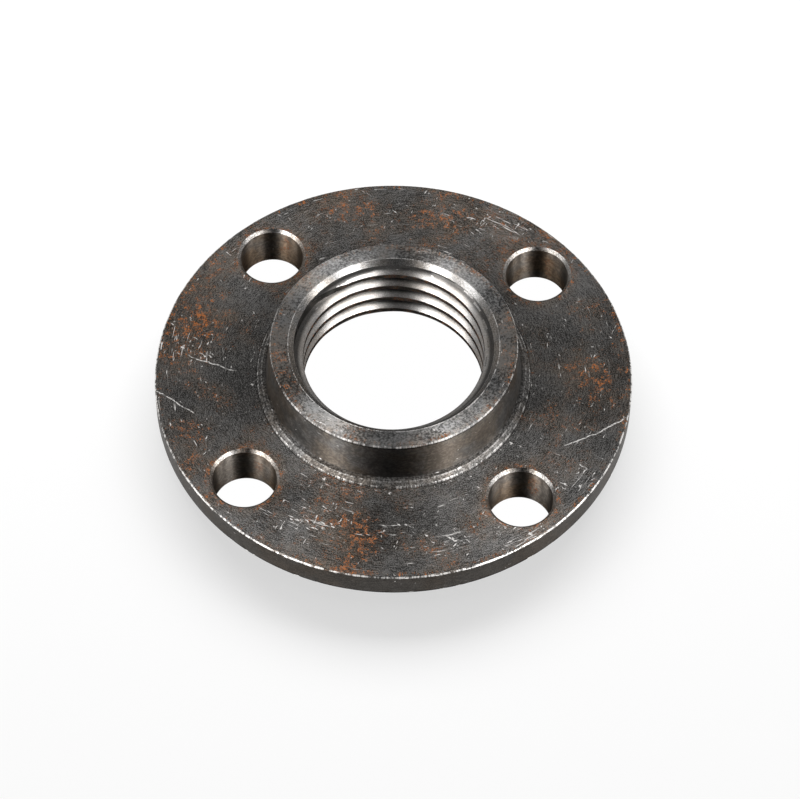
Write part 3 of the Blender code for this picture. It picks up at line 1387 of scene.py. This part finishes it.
def hole_finishes() -> dict[Zone, SteelFinish]:
    """Give the finishes of the bolt holes: their walls and their chamfers.

    Returns:
        The finish of each zone.
    """
    plate = SIZES.plate_thickness / MM
    offset = SIZES.bolt_offset / MM
    chamfer_middle = (SIZES.bolt_hole_radius + SIZES.bolt_hole_chamfer / 2) / MM
    # The far side of each hole's chamfer, where a dark reflection is painted.
    far_sides = [(x, y + chamfer_middle) for x in (-offset, offset) for y in (-offset, offset)]
    wall = HoleWallFinish(
        "hole_wall_steel",
        dark=grey(0.13, 0.12),
        light=grey(0.23, 0.12),
        warmth=0.7,
        streak_share=0.3,
        speckle_size=1.0,
        roughness=0.42,
        roughness_spread=0.03,
        anisotropy=1.0,
        grain_height=0.004,
        tone_drift=0.35,
        rust_cover=0.10,
        nick_cover=0.02,
        stroke_cover=0.0,
        turned_stroke_cover=0.0,
    )
    chamfer = SteelFinish(
        "hole_edge_steel",
        dark=grey(0.13, 0.04),
        light=grey(0.48, 0.04),
        roughness=0.34,
        anisotropy=0.0,
        grain_height=0.012,
        rust_cover=0.36,
        nick_cover=0.1,
        turned_stroke_cover=0.0,
        warmth=0.4,
        # Painted dark reflection on the far side of each hole's chamfer.
        dark_patches=patches_at(plate, *((x, y, 3.0, 3.0, 0.8) for x, y in far_sides)),
    )
    return {Zone.HOLE_WALL: wall, Zone.HOLE_EDGE: chamfer}


def finishes() -> dict[Zone, SteelFinish]:
    """Give the finish of each zone."""
    return plate_finishes() | hub_finishes() | bore_finishes() | hole_finishes()


@dataclass(frozen=True)
class Corner:
    """A corner of the turned section: its place, its rounding and how deep its nicks go, in metres."""

    radius: float
    height: float
    rounding: float = 0.0
    nick: float = 0.0


@dataclass
class TurnedBody:
    """The outside of the forging, turned about Z, from the bore's mouth round to its lower lead-in."""

    sizes: FlangeSizes
    columns: int = 448
    arc_steps: int = 4
    longest_step: float = 0.0035
    nick_count: int = 70
    nick_span: float = 0.03
    nick_span_shares: Band = (0.25, 1.0)
    nick_depth_shares: Band = (0.2, 1.0)
    seed: int = 5

    def corners(self) -> list[Corner]:
        """List the section's corners, from the mouth of the bore down the outside.

        Returns:
            The corners in order.
        """
        size = self.sizes
        return [
            Corner(size.mouth_radius, size.top),
            Corner(size.hub_top_radius - size.hub_edge_break * 0.5, size.top, 0.0003, 0.00012),
            Corner(size.hub_top_radius + 0.00002, size.top - size.hub_edge_break, 0.0004, 0.0001),
            Corner(size.hub_foot_radius, size.collar_top, size.foot_fillet),
            Corner(size.collar_radius - size.collar_bevel, size.collar_top, 0.0004, 0.00008),
            Corner(size.collar_radius, size.plate_thickness + size.collar_lip, 0.0004, 0.0001),
            Corner(size.collar_radius, size.plate_thickness, 0.0002),
            Corner(size.rim_radius - size.rim_edge_break, size.plate_thickness, 0.0004, 0.00025),
            Corner(size.rim_radius, size.plate_thickness - size.rim_edge_break, 0.0004, 0.0002),
            Corner(size.rim_radius, size.rim_bevel_height, 0.0004, 0.0001),
            Corner(size.underside_radius, 0.0, 0.0005),
            Corner(size.countersink_radius, 0.0),
        ]

    def outline(self) -> np.ndarray:
        """Work out the section with its corners rounded and its long flats divided.

        Returns:
            Rows of radius, height and nick depth.
        """
        corners = self.corners()
        points: list[tuple[float, float, float]] = [(corners[0].radius, corners[0].height, 0.0)]
        for before, corner, after in zip(corners, corners[1:], corners[2:]):
            here = Vector((corner.radius, corner.height))
            back = (Vector((before.radius, before.height)) - here).normalized()
            ahead = (Vector((after.radius, after.height)) - here).normalized()
            if corner.rounding == 0.0:
                points.append((here.x, here.y, corner.nick))
                continue
            half_turn = (math.pi - back.angle(ahead)) / 2
            cut = corner.rounding * math.tan(half_turn)
            start, end = here + back * cut, here + ahead * cut
            for step in range(self.arc_steps + 1):
                share = step / self.arc_steps
                near = start.lerp(here, share)
                far = here.lerp(end, share)
                spot = near.lerp(far, share)
                points.append((spot.x, spot.y, corner.nick))
        points.append((corners[-1].radius, corners[-1].height, 0.0))
        return self.divided(points)

    def divided(self, points: list[tuple[float, float, float]]) -> np.ndarray:
        """Divide the outline so that no step is longer than longest_step.

        Args:
            points: radius, height and nick depth of each point.

        Returns:
            The same with the points between, as rows of an array.
        """
        rows = [points[0]]
        for start, end in zip(points, points[1:]):
            length = math.dist(start[:2], end[:2])
            count = max(1, math.ceil(length / self.longest_step))
            for step in range(1, count + 1):
                share = step / count
                radius = start[0] + (end[0] - start[0]) * share
                height = start[1] + (end[1] - start[1]) * share
                rows.append((radius, height, end[2] if step == count else 0.0))
        return np.array(rows)

    def nicks(self, rng: np.random.Generator, angles: np.ndarray) -> np.ndarray:
        """Place nicks at random round one edge.

        Args:
            rng: the random numbers.
            angles: the angles at which the edge has its points.

        Returns:
            How deep the nicks are at each angle, from 0 to 1.
        """
        depth = np.zeros_like(angles)
        for place in rng.uniform(0.0, math.tau, self.nick_count):
            span = self.nick_span * rng.uniform(*self.nick_span_shares)
            away = np.abs((angles - place + math.pi) % math.tau - math.pi)
            bump = np.clip(1.0 - away / span, 0.0, 1.0) * rng.uniform(*self.nick_depth_shares)
            depth = np.maximum(depth, bump)
        return depth

    def build(self) -> bpy.types.Mesh:
        """Turn the outline about Z.

        Returns:
            An open mesh whose two rims are the rings that the bore's surface starts and ends on.
        """
        rng = np.random.default_rng(self.seed)
        outline = self.outline()
        angles = np.arange(self.columns) * math.tau / self.columns
        rings = np.zeros((len(outline), self.columns, 3))
        size = self.sizes
        middle = np.array([size.crest_radius + size.hub_wall / 2, size.plate_thickness / 2])
        for number, (radius, height, nick) in enumerate(outline):
            inwards = middle - (radius, height)
            inwards = inwards / np.linalg.norm(inwards)
            depth = self.nicks(rng, angles) * nick if nick else np.zeros_like(angles)
            at = radius + inwards[0] * depth
            rings[number, :, 0] = at * np.cos(angles)
            rings[number, :, 1] = at * np.sin(angles)
            rings[number, :, 2] = height + inwards[1] * depth
        index = np.arange(len(outline) * self.columns).reshape(len(outline), self.columns)
        around = np.roll(index, -1, axis=1)
        quads = np.stack([index[:-1], index[1:], around[1:], around[:-1]], axis=-1).reshape(-1, 4)
        mesh = bpy.data.meshes.new("turned_body")
        mesh.from_pydata(rings.reshape(-1, 3).tolist(), [], quads.tolist())
        return mesh


class GeometryTool:
    """A Geometry Nodes tree that works on one object, with named inputs for its sizes."""

    title: ClassVar[str] = ""
    takes: ClassVar[tuple[Port, ...]] = ()

    def draw(self, sheet: NodeSheet, given: Any) -> Wire:
        """Draw the tree and give the geometry that it ends in, before its material is set."""
        raise NotImplementedError

    def fit(self, target: bpy.types.Object, values: dict[str, Any]) -> None:
        """Put the tree on an object as a modifier.

        Args:
            target: the object that the tree changes.
            values: what each named input gets.
        """
        tree = bpy.data.node_groups.new(self.title, "GeometryNodeTree")
        sheet = NodeSheet(tree)
        ports = (Port("Body", "Geometry"),) + self.takes + (Port("Material", "Material"),)
        sockets = {port.name: port.open(tree, "INPUT") for port in ports}
        Port("Body", "Geometry").open(tree, "OUTPUT")
        given = sheet.add("NodeGroupInput").outputs
        shape = sheet.add("GeometryNodeRealizeInstances", {0: self.draw(sheet, given)}).outputs[0]
        dressed = sheet.add("GeometryNodeSetMaterial", {"Geometry": shape, "Material": given["Material"]})
        sheet.add("NodeGroupOutput", {0: dressed.outputs[0]})
        modifier = target.modifiers.new(self.title, "NODES")
        modifier.node_group = tree
        for name, value in values.items():
            modifier[sockets[name].identifier] = value


class HelicalThread(GeometryTool):
    """The bore's surface: a right-handed thread between its two lead-ins, welded to the body."""

    title = "helical_thread"
    takes = (
        Port("Columns", "Int", 448),
        Port("Rows", "Int", 120),
        Port("Row Step", "Float", 0.0003),
        Port("Crest Radius", "Float", 0.0283),
        Port("Depth", "Float", 0.0029),
        Port("Pitch", "Float", 0.006),
        Port("Root Flat", "Float", 0.0009),
        Port("Flank", "Float", 0.0017),
        Port("Start", "Float", 0.0),
        Port("First Root", "Float", 0.65),
        Port("Run-out Start", "Float", 0.34),
        Port("Run-out End", "Float", 0.44),
        Port("Ledge", "Float", 0.03),
        Port("Ledge Radius", "Float", 0.0313),
        Port("Top", "Float", 0.0321),
        Port("Mouth Radius", "Float", 0.0328),
        Port("Countersink Radius", "Float", 0.0348),
    )
    WELD: ClassVar[float] = 0.000004
    LEAD_ROWS: ClassVar[float] = 3.0

    def draw(self, sheet: NodeSheet, given: Any) -> Wire:
        """Draw a grid that climbs one pitch a turn, and bend it onto the thread and the lead-ins.

        Args:
            sheet: the tree's sheet.
            given: the tree's inputs by name.

        Returns:
            The body with its bore closed up by the thread's surface.
        """
        grid = sheet.add(
            "GeometryNodeMeshGrid",
            {
                "Size X": 1.0,
                "Size Y": 1.0,
                "Vertices X": sheet.math("ADD", given["Columns"], 1.0),
                "Vertices Y": sheet.math("ADD", given["Rows"], self.LEAD_ROWS),
            },
        )
        x, y, _ = sheet.split(sheet.add("GeometryNodeInputPosition").outputs[0])
        turn = sheet.math("ADD", x, 0.5)
        last_row = sheet.math("ADD", given["Rows"], self.LEAD_ROWS - 1.0)
        row = sheet.times(sheet.math("ADD", y, 0.5), last_row)
        climb = sheet.math("SUBTRACT", turn, 1.0)
        height = sheet.math("ADD", sheet.times(row, given["Row Step"]), sheet.times(climb, given["Pitch"]))
        height = sheet.math("MINIMUM", sheet.math("MAXIMUM", height, 0.0), given["Ledge"])

        drop = sheet.math("DIVIDE", sheet.math("SUBTRACT", given["Start"], height), given["Pitch"])
        turns_down = sheet.math("ADD", drop, turn)
        below = sheet.times(sheet.math("FRACT", turns_down), given["Pitch"])
        half_root = sheet.times(given["Root Flat"], 0.5)
        half_groove = sheet.math("ADD", given["Flank"], half_root)
        from_root = sheet.distance(below, sheet.math("SUBTRACT", given["Pitch"], half_groove))
        up_flank = sheet.math("SUBTRACT", half_groove, from_root)
        cut = sheet.math("DIVIDE", up_flank, given["Flank"], clamp=True)
        first_crest = sheet.math("LESS_THAN", turns_down, given["First Root"])
        ended = sheet.times(first_crest, sheet.ease(turn, given["Run-out Start"], given["Run-out End"]))
        above = sheet.math("LESS_THAN", turns_down, sheet.math("SUBTRACT", given["First Root"], 1.0))
        cut = sheet.largest(cut, ended, above)
        thread = sheet.math("ADD", given["Crest Radius"], sheet.times(cut, given["Depth"]))

        countersink = sheet.math("SUBTRACT", given["Countersink Radius"], height)
        bore = sheet.math("MAXIMUM", thread, countersink)

        past = sheet.math("SUBTRACT", row, given["Rows"])
        in_lead = sheet.math("GREATER_THAN", past, -0.5)
        share = sheet.math("DIVIDE", past, self.LEAD_ROWS - 1.0, clamp=True)
        lead_width = sheet.math("SUBTRACT", given["Mouth Radius"], given["Ledge Radius"])
        lead = sheet.math("ADD", given["Ledge Radius"], sheet.times(share, lead_width))
        radius = sheet.math("ADD", bore, sheet.times(in_lead, sheet.math("SUBTRACT", lead, bore)))
        rise = sheet.times(share, sheet.math("SUBTRACT", given["Top"], given["Ledge"]))
        height = sheet.math("ADD", height, rise)
        angle = sheet.times(turn, math.tau)
        place = sheet.join(
            sheet.times(radius, sheet.math("COSINE", angle)),
            sheet.times(radius, sheet.math("SINE", angle)),
            height,
        )
        bent = sheet.add("GeometryNodeSetPosition", {"Geometry": grid.outputs["Mesh"], "Position": place})
        inwards = sheet.add("GeometryNodeFlipFaces", {0: bent.outputs[0]}).outputs[0]
        both = sheet.add("GeometryNodeJoinGeometry", {0: inwards})
        sheet.tree.links.new(given["Body"], both.inputs[0])
        wires = {"Geometry": both.outputs[0], "Distance": self.WELD}
        return sheet.add("GeometryNodeMergeByDistance", wires).outputs[0]


class BoltHoles(GeometryTool):
    """The bolt holes: one drill, repeated round the bolt circle and cut out of the body."""

    title = "bolt_holes"
    takes = (
        Port("Drill", "Object"),
        Port("Holes", "Int", 4),
        Port("Circle Radius", "Float", 0.06035),
        Port("First Angle", "Float", 0.0),
    )

    def draw(self, sheet: NodeSheet, given: Any) -> Wire:
        """Draw the drills on the points of a circle, and take them away from the body.

        Args:
            sheet: the tree's sheet.
            given: the tree's inputs by name.

        Returns:
            The body with its holes.
        """
        wires = {"Vertices": given["Holes"], "Radius": given["Circle Radius"]}
        circle = sheet.add("GeometryNodeMeshCircle", wires).outputs[0]
        wires = {"Geometry": circle, "Rotation": sheet.join(0.0, 0.0, given["First Angle"])}
        points = sheet.add("GeometryNodeTransform", wires).outputs[0]
        drill = sheet.add("GeometryNodeObjectInfo", {"Object": given["Drill"]}).outputs["Geometry"]
        drills = sheet.add("GeometryNodeInstanceOnPoints", {"Points": points, "Instance": drill})
        solid = sheet.add("GeometryNodeRealizeInstances", {0: drills.outputs[0]}).outputs[0]
        cut = sheet.add("GeometryNodeMeshBoolean", None, operation="DIFFERENCE", solver="EXACT")
        sheet.tree.links.new(given["Body"], cut.inputs["Mesh 1"])
        sheet.tree.links.new(solid, cut.inputs["Mesh 2"])
        return cut.outputs["Mesh"]


@dataclass
class Drill:
    """The cutter of one bolt hole: a straight drill with a countersink at the plate's face."""

    sizes: FlangeSizes
    columns: int = 112
    overrun: float = 0.002
    shaft_steps: int = 6

    def build(self) -> bpy.types.Mesh:
        """Turn the cutter.

        Returns:
            A closed mesh about Z.
        """
        size = self.sizes
        top = size.plate_thickness + self.overrun
        shoulder = size.plate_thickness - size.bolt_hole_chamfer
        wide = size.bolt_hole_radius + size.bolt_hole_chamfer + self.overrun
        rows = [(wide, top), (size.bolt_hole_radius, shoulder)]
        for step in range(1, self.shaft_steps + 1):
            height = shoulder + (-self.overrun - shoulder) * step / self.shaft_steps
            rows.append((size.bolt_hole_radius, height))
        shape = bmesh.new()
        rings = []
        for radius, height in rows:
            made = bmesh.ops.create_circle(shape, segments=self.columns, radius=radius)
            for vertex in made["verts"]:
                vertex.co.z = height
            rings.append(made["verts"])
        for upper, lower in zip(rings, rings[1:]):
            for number in range(self.columns):
                after = (number + 1) % self.columns
                shape.faces.new((upper[number], upper[after], lower[after], lower[number]))
        shape.faces.new(rings[0])
        shape.faces.new(rings[-1])
        bmesh.ops.recalc_face_normals(shape, faces=shape.faces[:])
        mesh = bpy.data.meshes.new("drill")
        shape.to_mesh(mesh)
        shape.free()
        return mesh


@dataclass
class Forging:
    """The whole flange: the turned body, its threaded bore, its bolt holes and its finishes."""

    sizes: FlangeSizes
    name: str = "flange_forging"
    rows_per_pitch: int = 20
    sharp_angle: float = math.radians(32.0)
    slack: float = 0.00006
    wall_tilt: float = 0.3
    rim_tilt: float = 0.6
    level_tilt: float = 0.9
    edge_slack: float = 1.1

    def build(self) -> bpy.types.Object:
        """Build and dress the forging.

        Returns:
            The finished piece, as a plain mesh at the origin.
        """
        body = TurnedBody(self.sizes)
        blank = bpy.data.objects.new(self.name, body.build())
        drill = bpy.data.objects.new("drill", Drill(self.sizes).build())
        for thing in (blank, drill):
            bpy.context.scene.collection.objects.link(thing)
        dressing = {zone: finish.build() for zone, finish in finishes().items()}
        self.tap(blank, body.columns, dressing[Zone.THREAD])
        self.drill(blank, drill, dressing[Zone.PLATE])
        depsgraph = bpy.context.evaluated_depsgraph_get()
        finished = bpy.data.meshes.new_from_object(blank.evaluated_get(depsgraph))
        finished.name = self.name
        blank.modifiers.clear()
        blank.data = finished
        bpy.data.objects.remove(drill, do_unlink=True)
        self.dress(finished, dressing)
        finished.shade_smooth()
        finished.set_sharp_from_angle(angle=self.sharp_angle)
        return blank

    def tap(self, blank: bpy.types.Object, columns: int, steel: bpy.types.Material) -> None:
        """Put the thread and its lead-ins in the bore.

        Args:
            blank: the turned body.
            columns: how many points the body has round.
            steel: the material that the tree ends in.
        """
        size = self.sizes
        step = size.thread_pitch / self.rows_per_pitch
        rows = math.ceil((size.ledge_height + size.thread_pitch) / step) + 1
        HelicalThread().fit(
            blank,
            {
                "Columns": columns,
                "Rows": rows,
                "Row Step": step,
                "Crest Radius": size.crest_radius,
                "Depth": size.thread_depth,
                "Pitch": size.thread_pitch,
                "Root Flat": size.root_flat,
                "Flank": size.flank,
                "Start": size.top - size.thread_drop,
                "First Root": size.first_root,
                "Run-out Start": size.run_out[0],
                "Run-out End": size.run_out[1],
                "Ledge": size.ledge_height,
                "Ledge Radius": size.ledge_radius,
                "Top": size.top,
                "Mouth Radius": size.mouth_radius,
                "Countersink Radius": size.countersink_radius,
                "Material": steel,
            },
        )

    def drill(self, blank: bpy.types.Object, drill: bpy.types.Object, steel: bpy.types.Material) -> None:
        """Put the bolt holes through the plate.

        Args:
            blank: the turned body.
            drill: the cutter of one hole.
            steel: the material that the tree ends in.
        """
        size = self.sizes
        BoltHoles().fit(
            blank,
            {
                "Drill": drill,
                "Holes": size.bolt_count,
                "Circle Radius": size.bolt_circle_radius,
                "First Angle": size.first_bolt_angle,
                "Material": steel,
            },
        )

    def dress(self, mesh: bpy.types.Mesh, dressing: dict[Zone, bpy.types.Material]) -> None:
        """Give each face the finish of its zone.

        Args:
            mesh: the finished mesh.
            dressing: the material of each zone.
        """
        mesh.materials.clear()
        for zone in Zone:
            mesh.materials.append(dressing[zone])
        count = len(mesh.polygons)
        centres = np.zeros(count * 3)
        normals = np.zeros(count * 3)
        mesh.polygons.foreach_get("center", centres)
        mesh.polygons.foreach_get("normal", normals)
        zones = self.zones(centres.reshape(-1, 3), normals.reshape(-1, 3))
        mesh.polygons.foreach_set("material_index", zones.astype(np.int32))
        mesh.update()

    def zones(self, centres: np.ndarray, normals: np.ndarray) -> np.ndarray:
        """Tell which zone each face lies in.

        Args:
            centres: the faces' middles.
            normals: the faces' normals.

        Returns:
            The zone's number for each face.
        """
        size = self.sizes
        x, y, height = centres.T
        upwards = normals[:, 2]
        radius = np.hypot(x, y)
        offset = size.bolt_offset
        in_hole = np.hypot(np.abs(x) - offset, np.abs(y) - offset)
        slack = self.slack

        zone = np.full(len(centres), Zone.PLATE.value)
        zone[upwards < -self.wall_tilt] = Zone.UNDERSIDE.value
        rim_wall = (radius > size.rim_radius - size.rim_edge_break) & (np.abs(upwards) < self.rim_tilt)
        zone[rim_wall] = Zone.RIM.value
        above_plate = (height > size.plate_thickness + slack) & (radius > size.mouth_radius)
        zone[above_plate] = Zone.COLLAR.value
        wall_foot = size.collar_top + size.foot_fillet * 0.5
        zone[above_plate & (height > wall_foot)] = Zone.HUB_WALL.value
        face_from = size.top - size.hub_edge_break * self.edge_slack
        zone[above_plate & (height > face_from)] = Zone.HUB_FACE.value

        bore = radius < size.mouth_radius - slack
        bore |= (radius < size.countersink_radius + slack) & (height < size.countersink_relief)
        bore &= (height > slack) & (height < size.top - slack)
        zone[bore] = Zone.THREAD.value
        mouth = np.abs(radius - size.mouth_radius + size.top - height) < slack
        countersink = np.abs(radius - size.countersink_radius + height) < slack
        zone[bore & (mouth | countersink)] = Zone.LEAD_IN.value

        near_hole = in_hole < size.bolt_hole_radius + size.bolt_hole_chamfer
        near_hole &= height < size.plate_thickness
        hole_wall = (in_hole < size.bolt_hole_radius + slack) & (np.abs(upwards) < self.wall_tilt)
        zone[near_hole & hole_wall] = Zone.HOLE_WALL.value
        zone[near_hole & (upwards > self.wall_tilt) & (upwards < self.level_tilt)] = Zone.HOLE_EDGE.value
        return zone


@dataclass(frozen=True)
class Softbox:
    """A rectangular soft light that faces the flange; its azimuth runs from the camera's side."""

    name: str
    azimuth: float
    elevation: float
    distance: float
    width: float
    height: float
    radiance: float
    lights_floor: bool = False

    def build(self, camera_azimuth: float, aim: Vector, lit: bpy.types.Collection) -> bpy.types.Object:
        """Set the light up.

        Args:
            camera_azimuth: where the camera stands, in degrees.
            aim: the point that the light faces.
            lit: what the light falls on.

        Returns:
            The light's object.
        """
        light = bpy.data.lights.new(self.name, "AREA")
        light.shape = "RECTANGLE"
        light.size = self.width
        light.size_y = self.height
        light.energy = self.radiance * math.pi * self.width * self.height
        turn = math.radians(camera_azimuth + self.azimuth)
        rise = math.radians(self.elevation)
        away = Vector((math.sin(turn) * math.cos(rise), -math.cos(turn) * math.cos(rise), math.sin(rise)))
        lamp = bpy.data.objects.new(self.name, light)
        lamp.location = aim + away * self.distance
        lamp.rotation_euler = away.to_track_quat("Z", "Y").to_euler()
        lamp.visible_camera = False
        lamp.light_linking.receiver_collection = lit
        bpy.context.scene.collection.objects.link(lamp)
        return lamp


@dataclass(frozen=True)
class Studio:
    """Floor, surroundings, lights and camera."""

    camera_azimuth: float = 4.0
    camera_elevation: float = 55.8027
    camera_roll: float = -0.6464
    camera_distance: float = 1.13501
    aim_right: float = -0.0020175
    aim_up: float = 0.0080325
    lens: float = 162.467
    floor_size: float = 6.0
    floor_drop: float = 0.0001
    floor_colour: float = 0.86
    floor_glow: float = 0.62
    under_glow: Band = (0.07075, 0.0704)
    near_floor: Band = (0.068, 0.078)
    far_floor: Band = (0.10, 0.16)
    world_level: float = 0.42
    world_dark: float = 0.02
    dark_side: Band = (0.22, 0.80)
    sensor_width: float = 36.0
    clip_end: float = 20.0
    boxes: tuple[Softbox, ...] = (
        Softbox("right_key", 45.0, 38.0, 0.9, 0.26, 0.84, 9.6),
        Softbox("left_key", -45.0, 38.0, 0.9, 0.26, 0.84, 9.4),
        Softbox("right_side", 76.0, 36.0, 0.9, 0.26, 0.76, 5.6),
        Softbox("left_side", -76.0, 36.0, 0.9, 0.26, 0.76, 4.8),
        Softbox("floor_light", 180.0, 41.0, 1.3, 1.8, 0.7, 8.0, lights_floor=True),
    )

    def build(self, sizes: FlangeSizes, piece: bpy.types.Object) -> None:
        """Set the whole studio up.

        Args:
            sizes: the flange's sizes.
            piece: the flange, which has its own lights apart from the floor's.
        """
        aim = Vector((0.0, 0.0, sizes.plate_thickness))
        lit = {True: self.group("floor_lit", self.floor()), False: self.group("flange_lit", piece)}
        self.surroundings()
        for box in self.boxes:
            box.build(self.camera_azimuth, aim, lit[box.lights_floor])
        self.camera(aim)
        bpy.context.scene.view_settings.view_transform = "Standard"

    def group(self, name: str, thing: bpy.types.Object) -> bpy.types.Collection:
        """Put one object in a collection of its own, for lights to fall on.

        Args:
            name: the collection's name.
            thing: the object.

        Returns:
            The collection.
        """
        collection = bpy.data.collections.new(name)
        collection.objects.link(thing)
        return collection

    def floor(self) -> bpy.types.Object:
        """Lay the floor.

        Returns:
            The floor's object.
        """
        mesh = bpy.data.meshes.new("floor")
        half = self.floor_size / 2
        level = -self.floor_drop
        corners = [(-half, -half, level), (half, -half, level), (half, half, level), (-half, half, level)]
        mesh.from_pydata(corners, [], [(0, 1, 2, 3)])
        mesh.materials.append(self.floor_paint())
        floor = bpy.data.objects.new("floor", mesh)
        bpy.context.scene.collection.objects.link(floor)
        return floor

    def floor_paint(self) -> bpy.types.Material:
        """Mix the floor's pale paint, which looks white and still holds the flange's shadow.

        In the steel it mirrors white too, but black under the flange and far out on the camera's side, as
        painted shade.

        Returns:
            The floor's material.
        """
        material = bpy.data.materials.new("pale_floor")
        material.use_nodes = True
        sheet = NodeSheet(material.node_tree)
        place = sheet.add("ShaderNodeTexCoord").outputs["Object"]
        radius = sheet.vector("LENGTH", place).outputs["Value"]
        path = sheet.add("ShaderNodeLightPath").outputs
        mirrored = sheet.math("MAXIMUM", path["Is Glossy Ray"], path["Is Transmission Ray"])
        far_dark = sheet.times(self.camera_side(sheet, place), sheet.ease(radius, *self.far_floor))
        beside = sheet.times(sheet.ease(radius, *self.near_floor), sheet.rest(far_dark))
        under_glow = sheet.ease(radius, *self.under_glow)
        mirrored_glow = sheet.times(mirrored, beside, self.floor_glow)
        seen_glow = sheet.times(path["Is Camera Ray"], sheet.math("MAXIMUM", under_glow, self.floor_glow))
        # Painted shade: glossy and transmission rays see the paint black under the flange and far out on the
        # camera's side.
        unseen = sheet.times(mirrored, sheet.rest(beside))
        paint = sheet.shade(grey(self.floor_colour)[:3], sheet.rest(unseen))
        matt = sheet.add("ShaderNodeBsdfDiffuse", {"Color": paint}).outputs[0]
        glow = sheet.add("ShaderNodeEmission", {"Color": grey(1.0), "Strength": 1.0}).outputs[0]
        share = sheet.math("MAXIMUM", mirrored_glow, seen_glow)
        both = sheet.add("ShaderNodeMixShader", {0: share, 1: matt, 2: glow})
        sheet.add("ShaderNodeOutputMaterial", {"Surface": both.outputs[0]})
        return material

    def camera_side(self, sheet: NodeSheet, direction: Wire) -> Wire:
        """Tell the side of the room that the photograph was taken from.

        Args:
            sheet: the sheet of the floor or of the room.
            direction: where a point lies, seen from the flange.

        Returns:
            1 on that side, and 0 away from it.
        """
        turn = math.radians(self.camera_azimuth)
        towards = (math.sin(turn), -math.cos(turn), 0.0)
        x, y, _ = sheet.split(direction)
        level = sheet.vector("NORMALIZE", sheet.join(x, y)).outputs[0]
        facing = sheet.vector("DOT_PRODUCT", level, towards).outputs["Value"]
        return sheet.ease(facing, *self.dark_side)

    def surroundings(self) -> None:
        """Make the room: grey all round, darker behind the camera, and white to the camera."""
        world = bpy.data.worlds.new("studio")
        world.use_nodes = True
        bpy.context.scene.world = world
        sheet = NodeSheet(world.node_tree)
        direction = sheet.add("ShaderNodeTexCoord").outputs["Generated"]
        dark = self.camera_side(sheet, direction)
        room = sheet.blend(dark, grey(self.world_level), grey(self.world_dark))
        camera_ray = sheet.add("ShaderNodeLightPath").outputs["Is Camera Ray"]
        colour = sheet.blend(camera_ray, room, grey(1.0))
        background = sheet.add("ShaderNodeBackground", {"Color": colour, "Strength": 1.0})
        sheet.add("ShaderNodeOutputWorld", {"Surface": background.outputs[0]})

    def camera(self, aim: Vector) -> None:
        """Stand the camera where the photograph was taken from.

        Args:
            aim: the point that the camera looks at.
        """
        rise = math.radians(self.camera_elevation)
        roll = Matrix.Rotation(math.radians(self.camera_roll), 3, "Z")
        turn = Matrix.Rotation(math.radians(self.camera_azimuth), 3, "Z")
        back = turn @ Vector((0.0, -math.cos(rise), math.sin(rise)))
        right = turn @ Vector((1.0, 0.0, 0.0))
        level = Matrix((right, back.cross(right), back))
        view = roll @ level
        lens = bpy.data.cameras.new("camera")
        lens.sensor_fit = "HORIZONTAL"
        lens.sensor_width = self.sensor_width
        lens.lens = self.lens
        lens.clip_end = self.clip_end
        camera = bpy.data.objects.new("camera", lens)
        shift = Vector((self.aim_right, self.aim_up, -self.camera_distance))
        stand = aim - view.transposed() @ shift
        camera.matrix_world = Matrix.Translation(stand) @ view.transposed().to_4x4()
        bpy.context.scene.collection.objects.link(camera)
        bpy.context.scene.camera = camera


def open_edges(mesh: bpy.types.Mesh) -> int:
    """Count the edges that don't lie between exactly two faces.

    Args:
        mesh: the mesh.

    Returns:
        How many there are.
    """
    shape = bmesh.new()
    shape.from_mesh(mesh)
    count = sum(not edge.is_manifold for edge in shape.edges)
    shape.free()
    return count


def main() -> None:
    """Build the flange and the studio, and report each piece."""
    logging.basicConfig(level=logging.INFO, format="%(name)s: %(message)s")
    piece = Forging(SIZES).build()
    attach(piece, "root")
    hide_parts(NODE)
    triangles = sum(len(face.vertices) - 2 for face in piece.data.polygons)
    log.info("%s: %d triangles, %d open edges", piece.name, triangles, open_edges(piece.data))
    Studio().build(SIZES, piece)


if __name__ == "__main__":
    main()
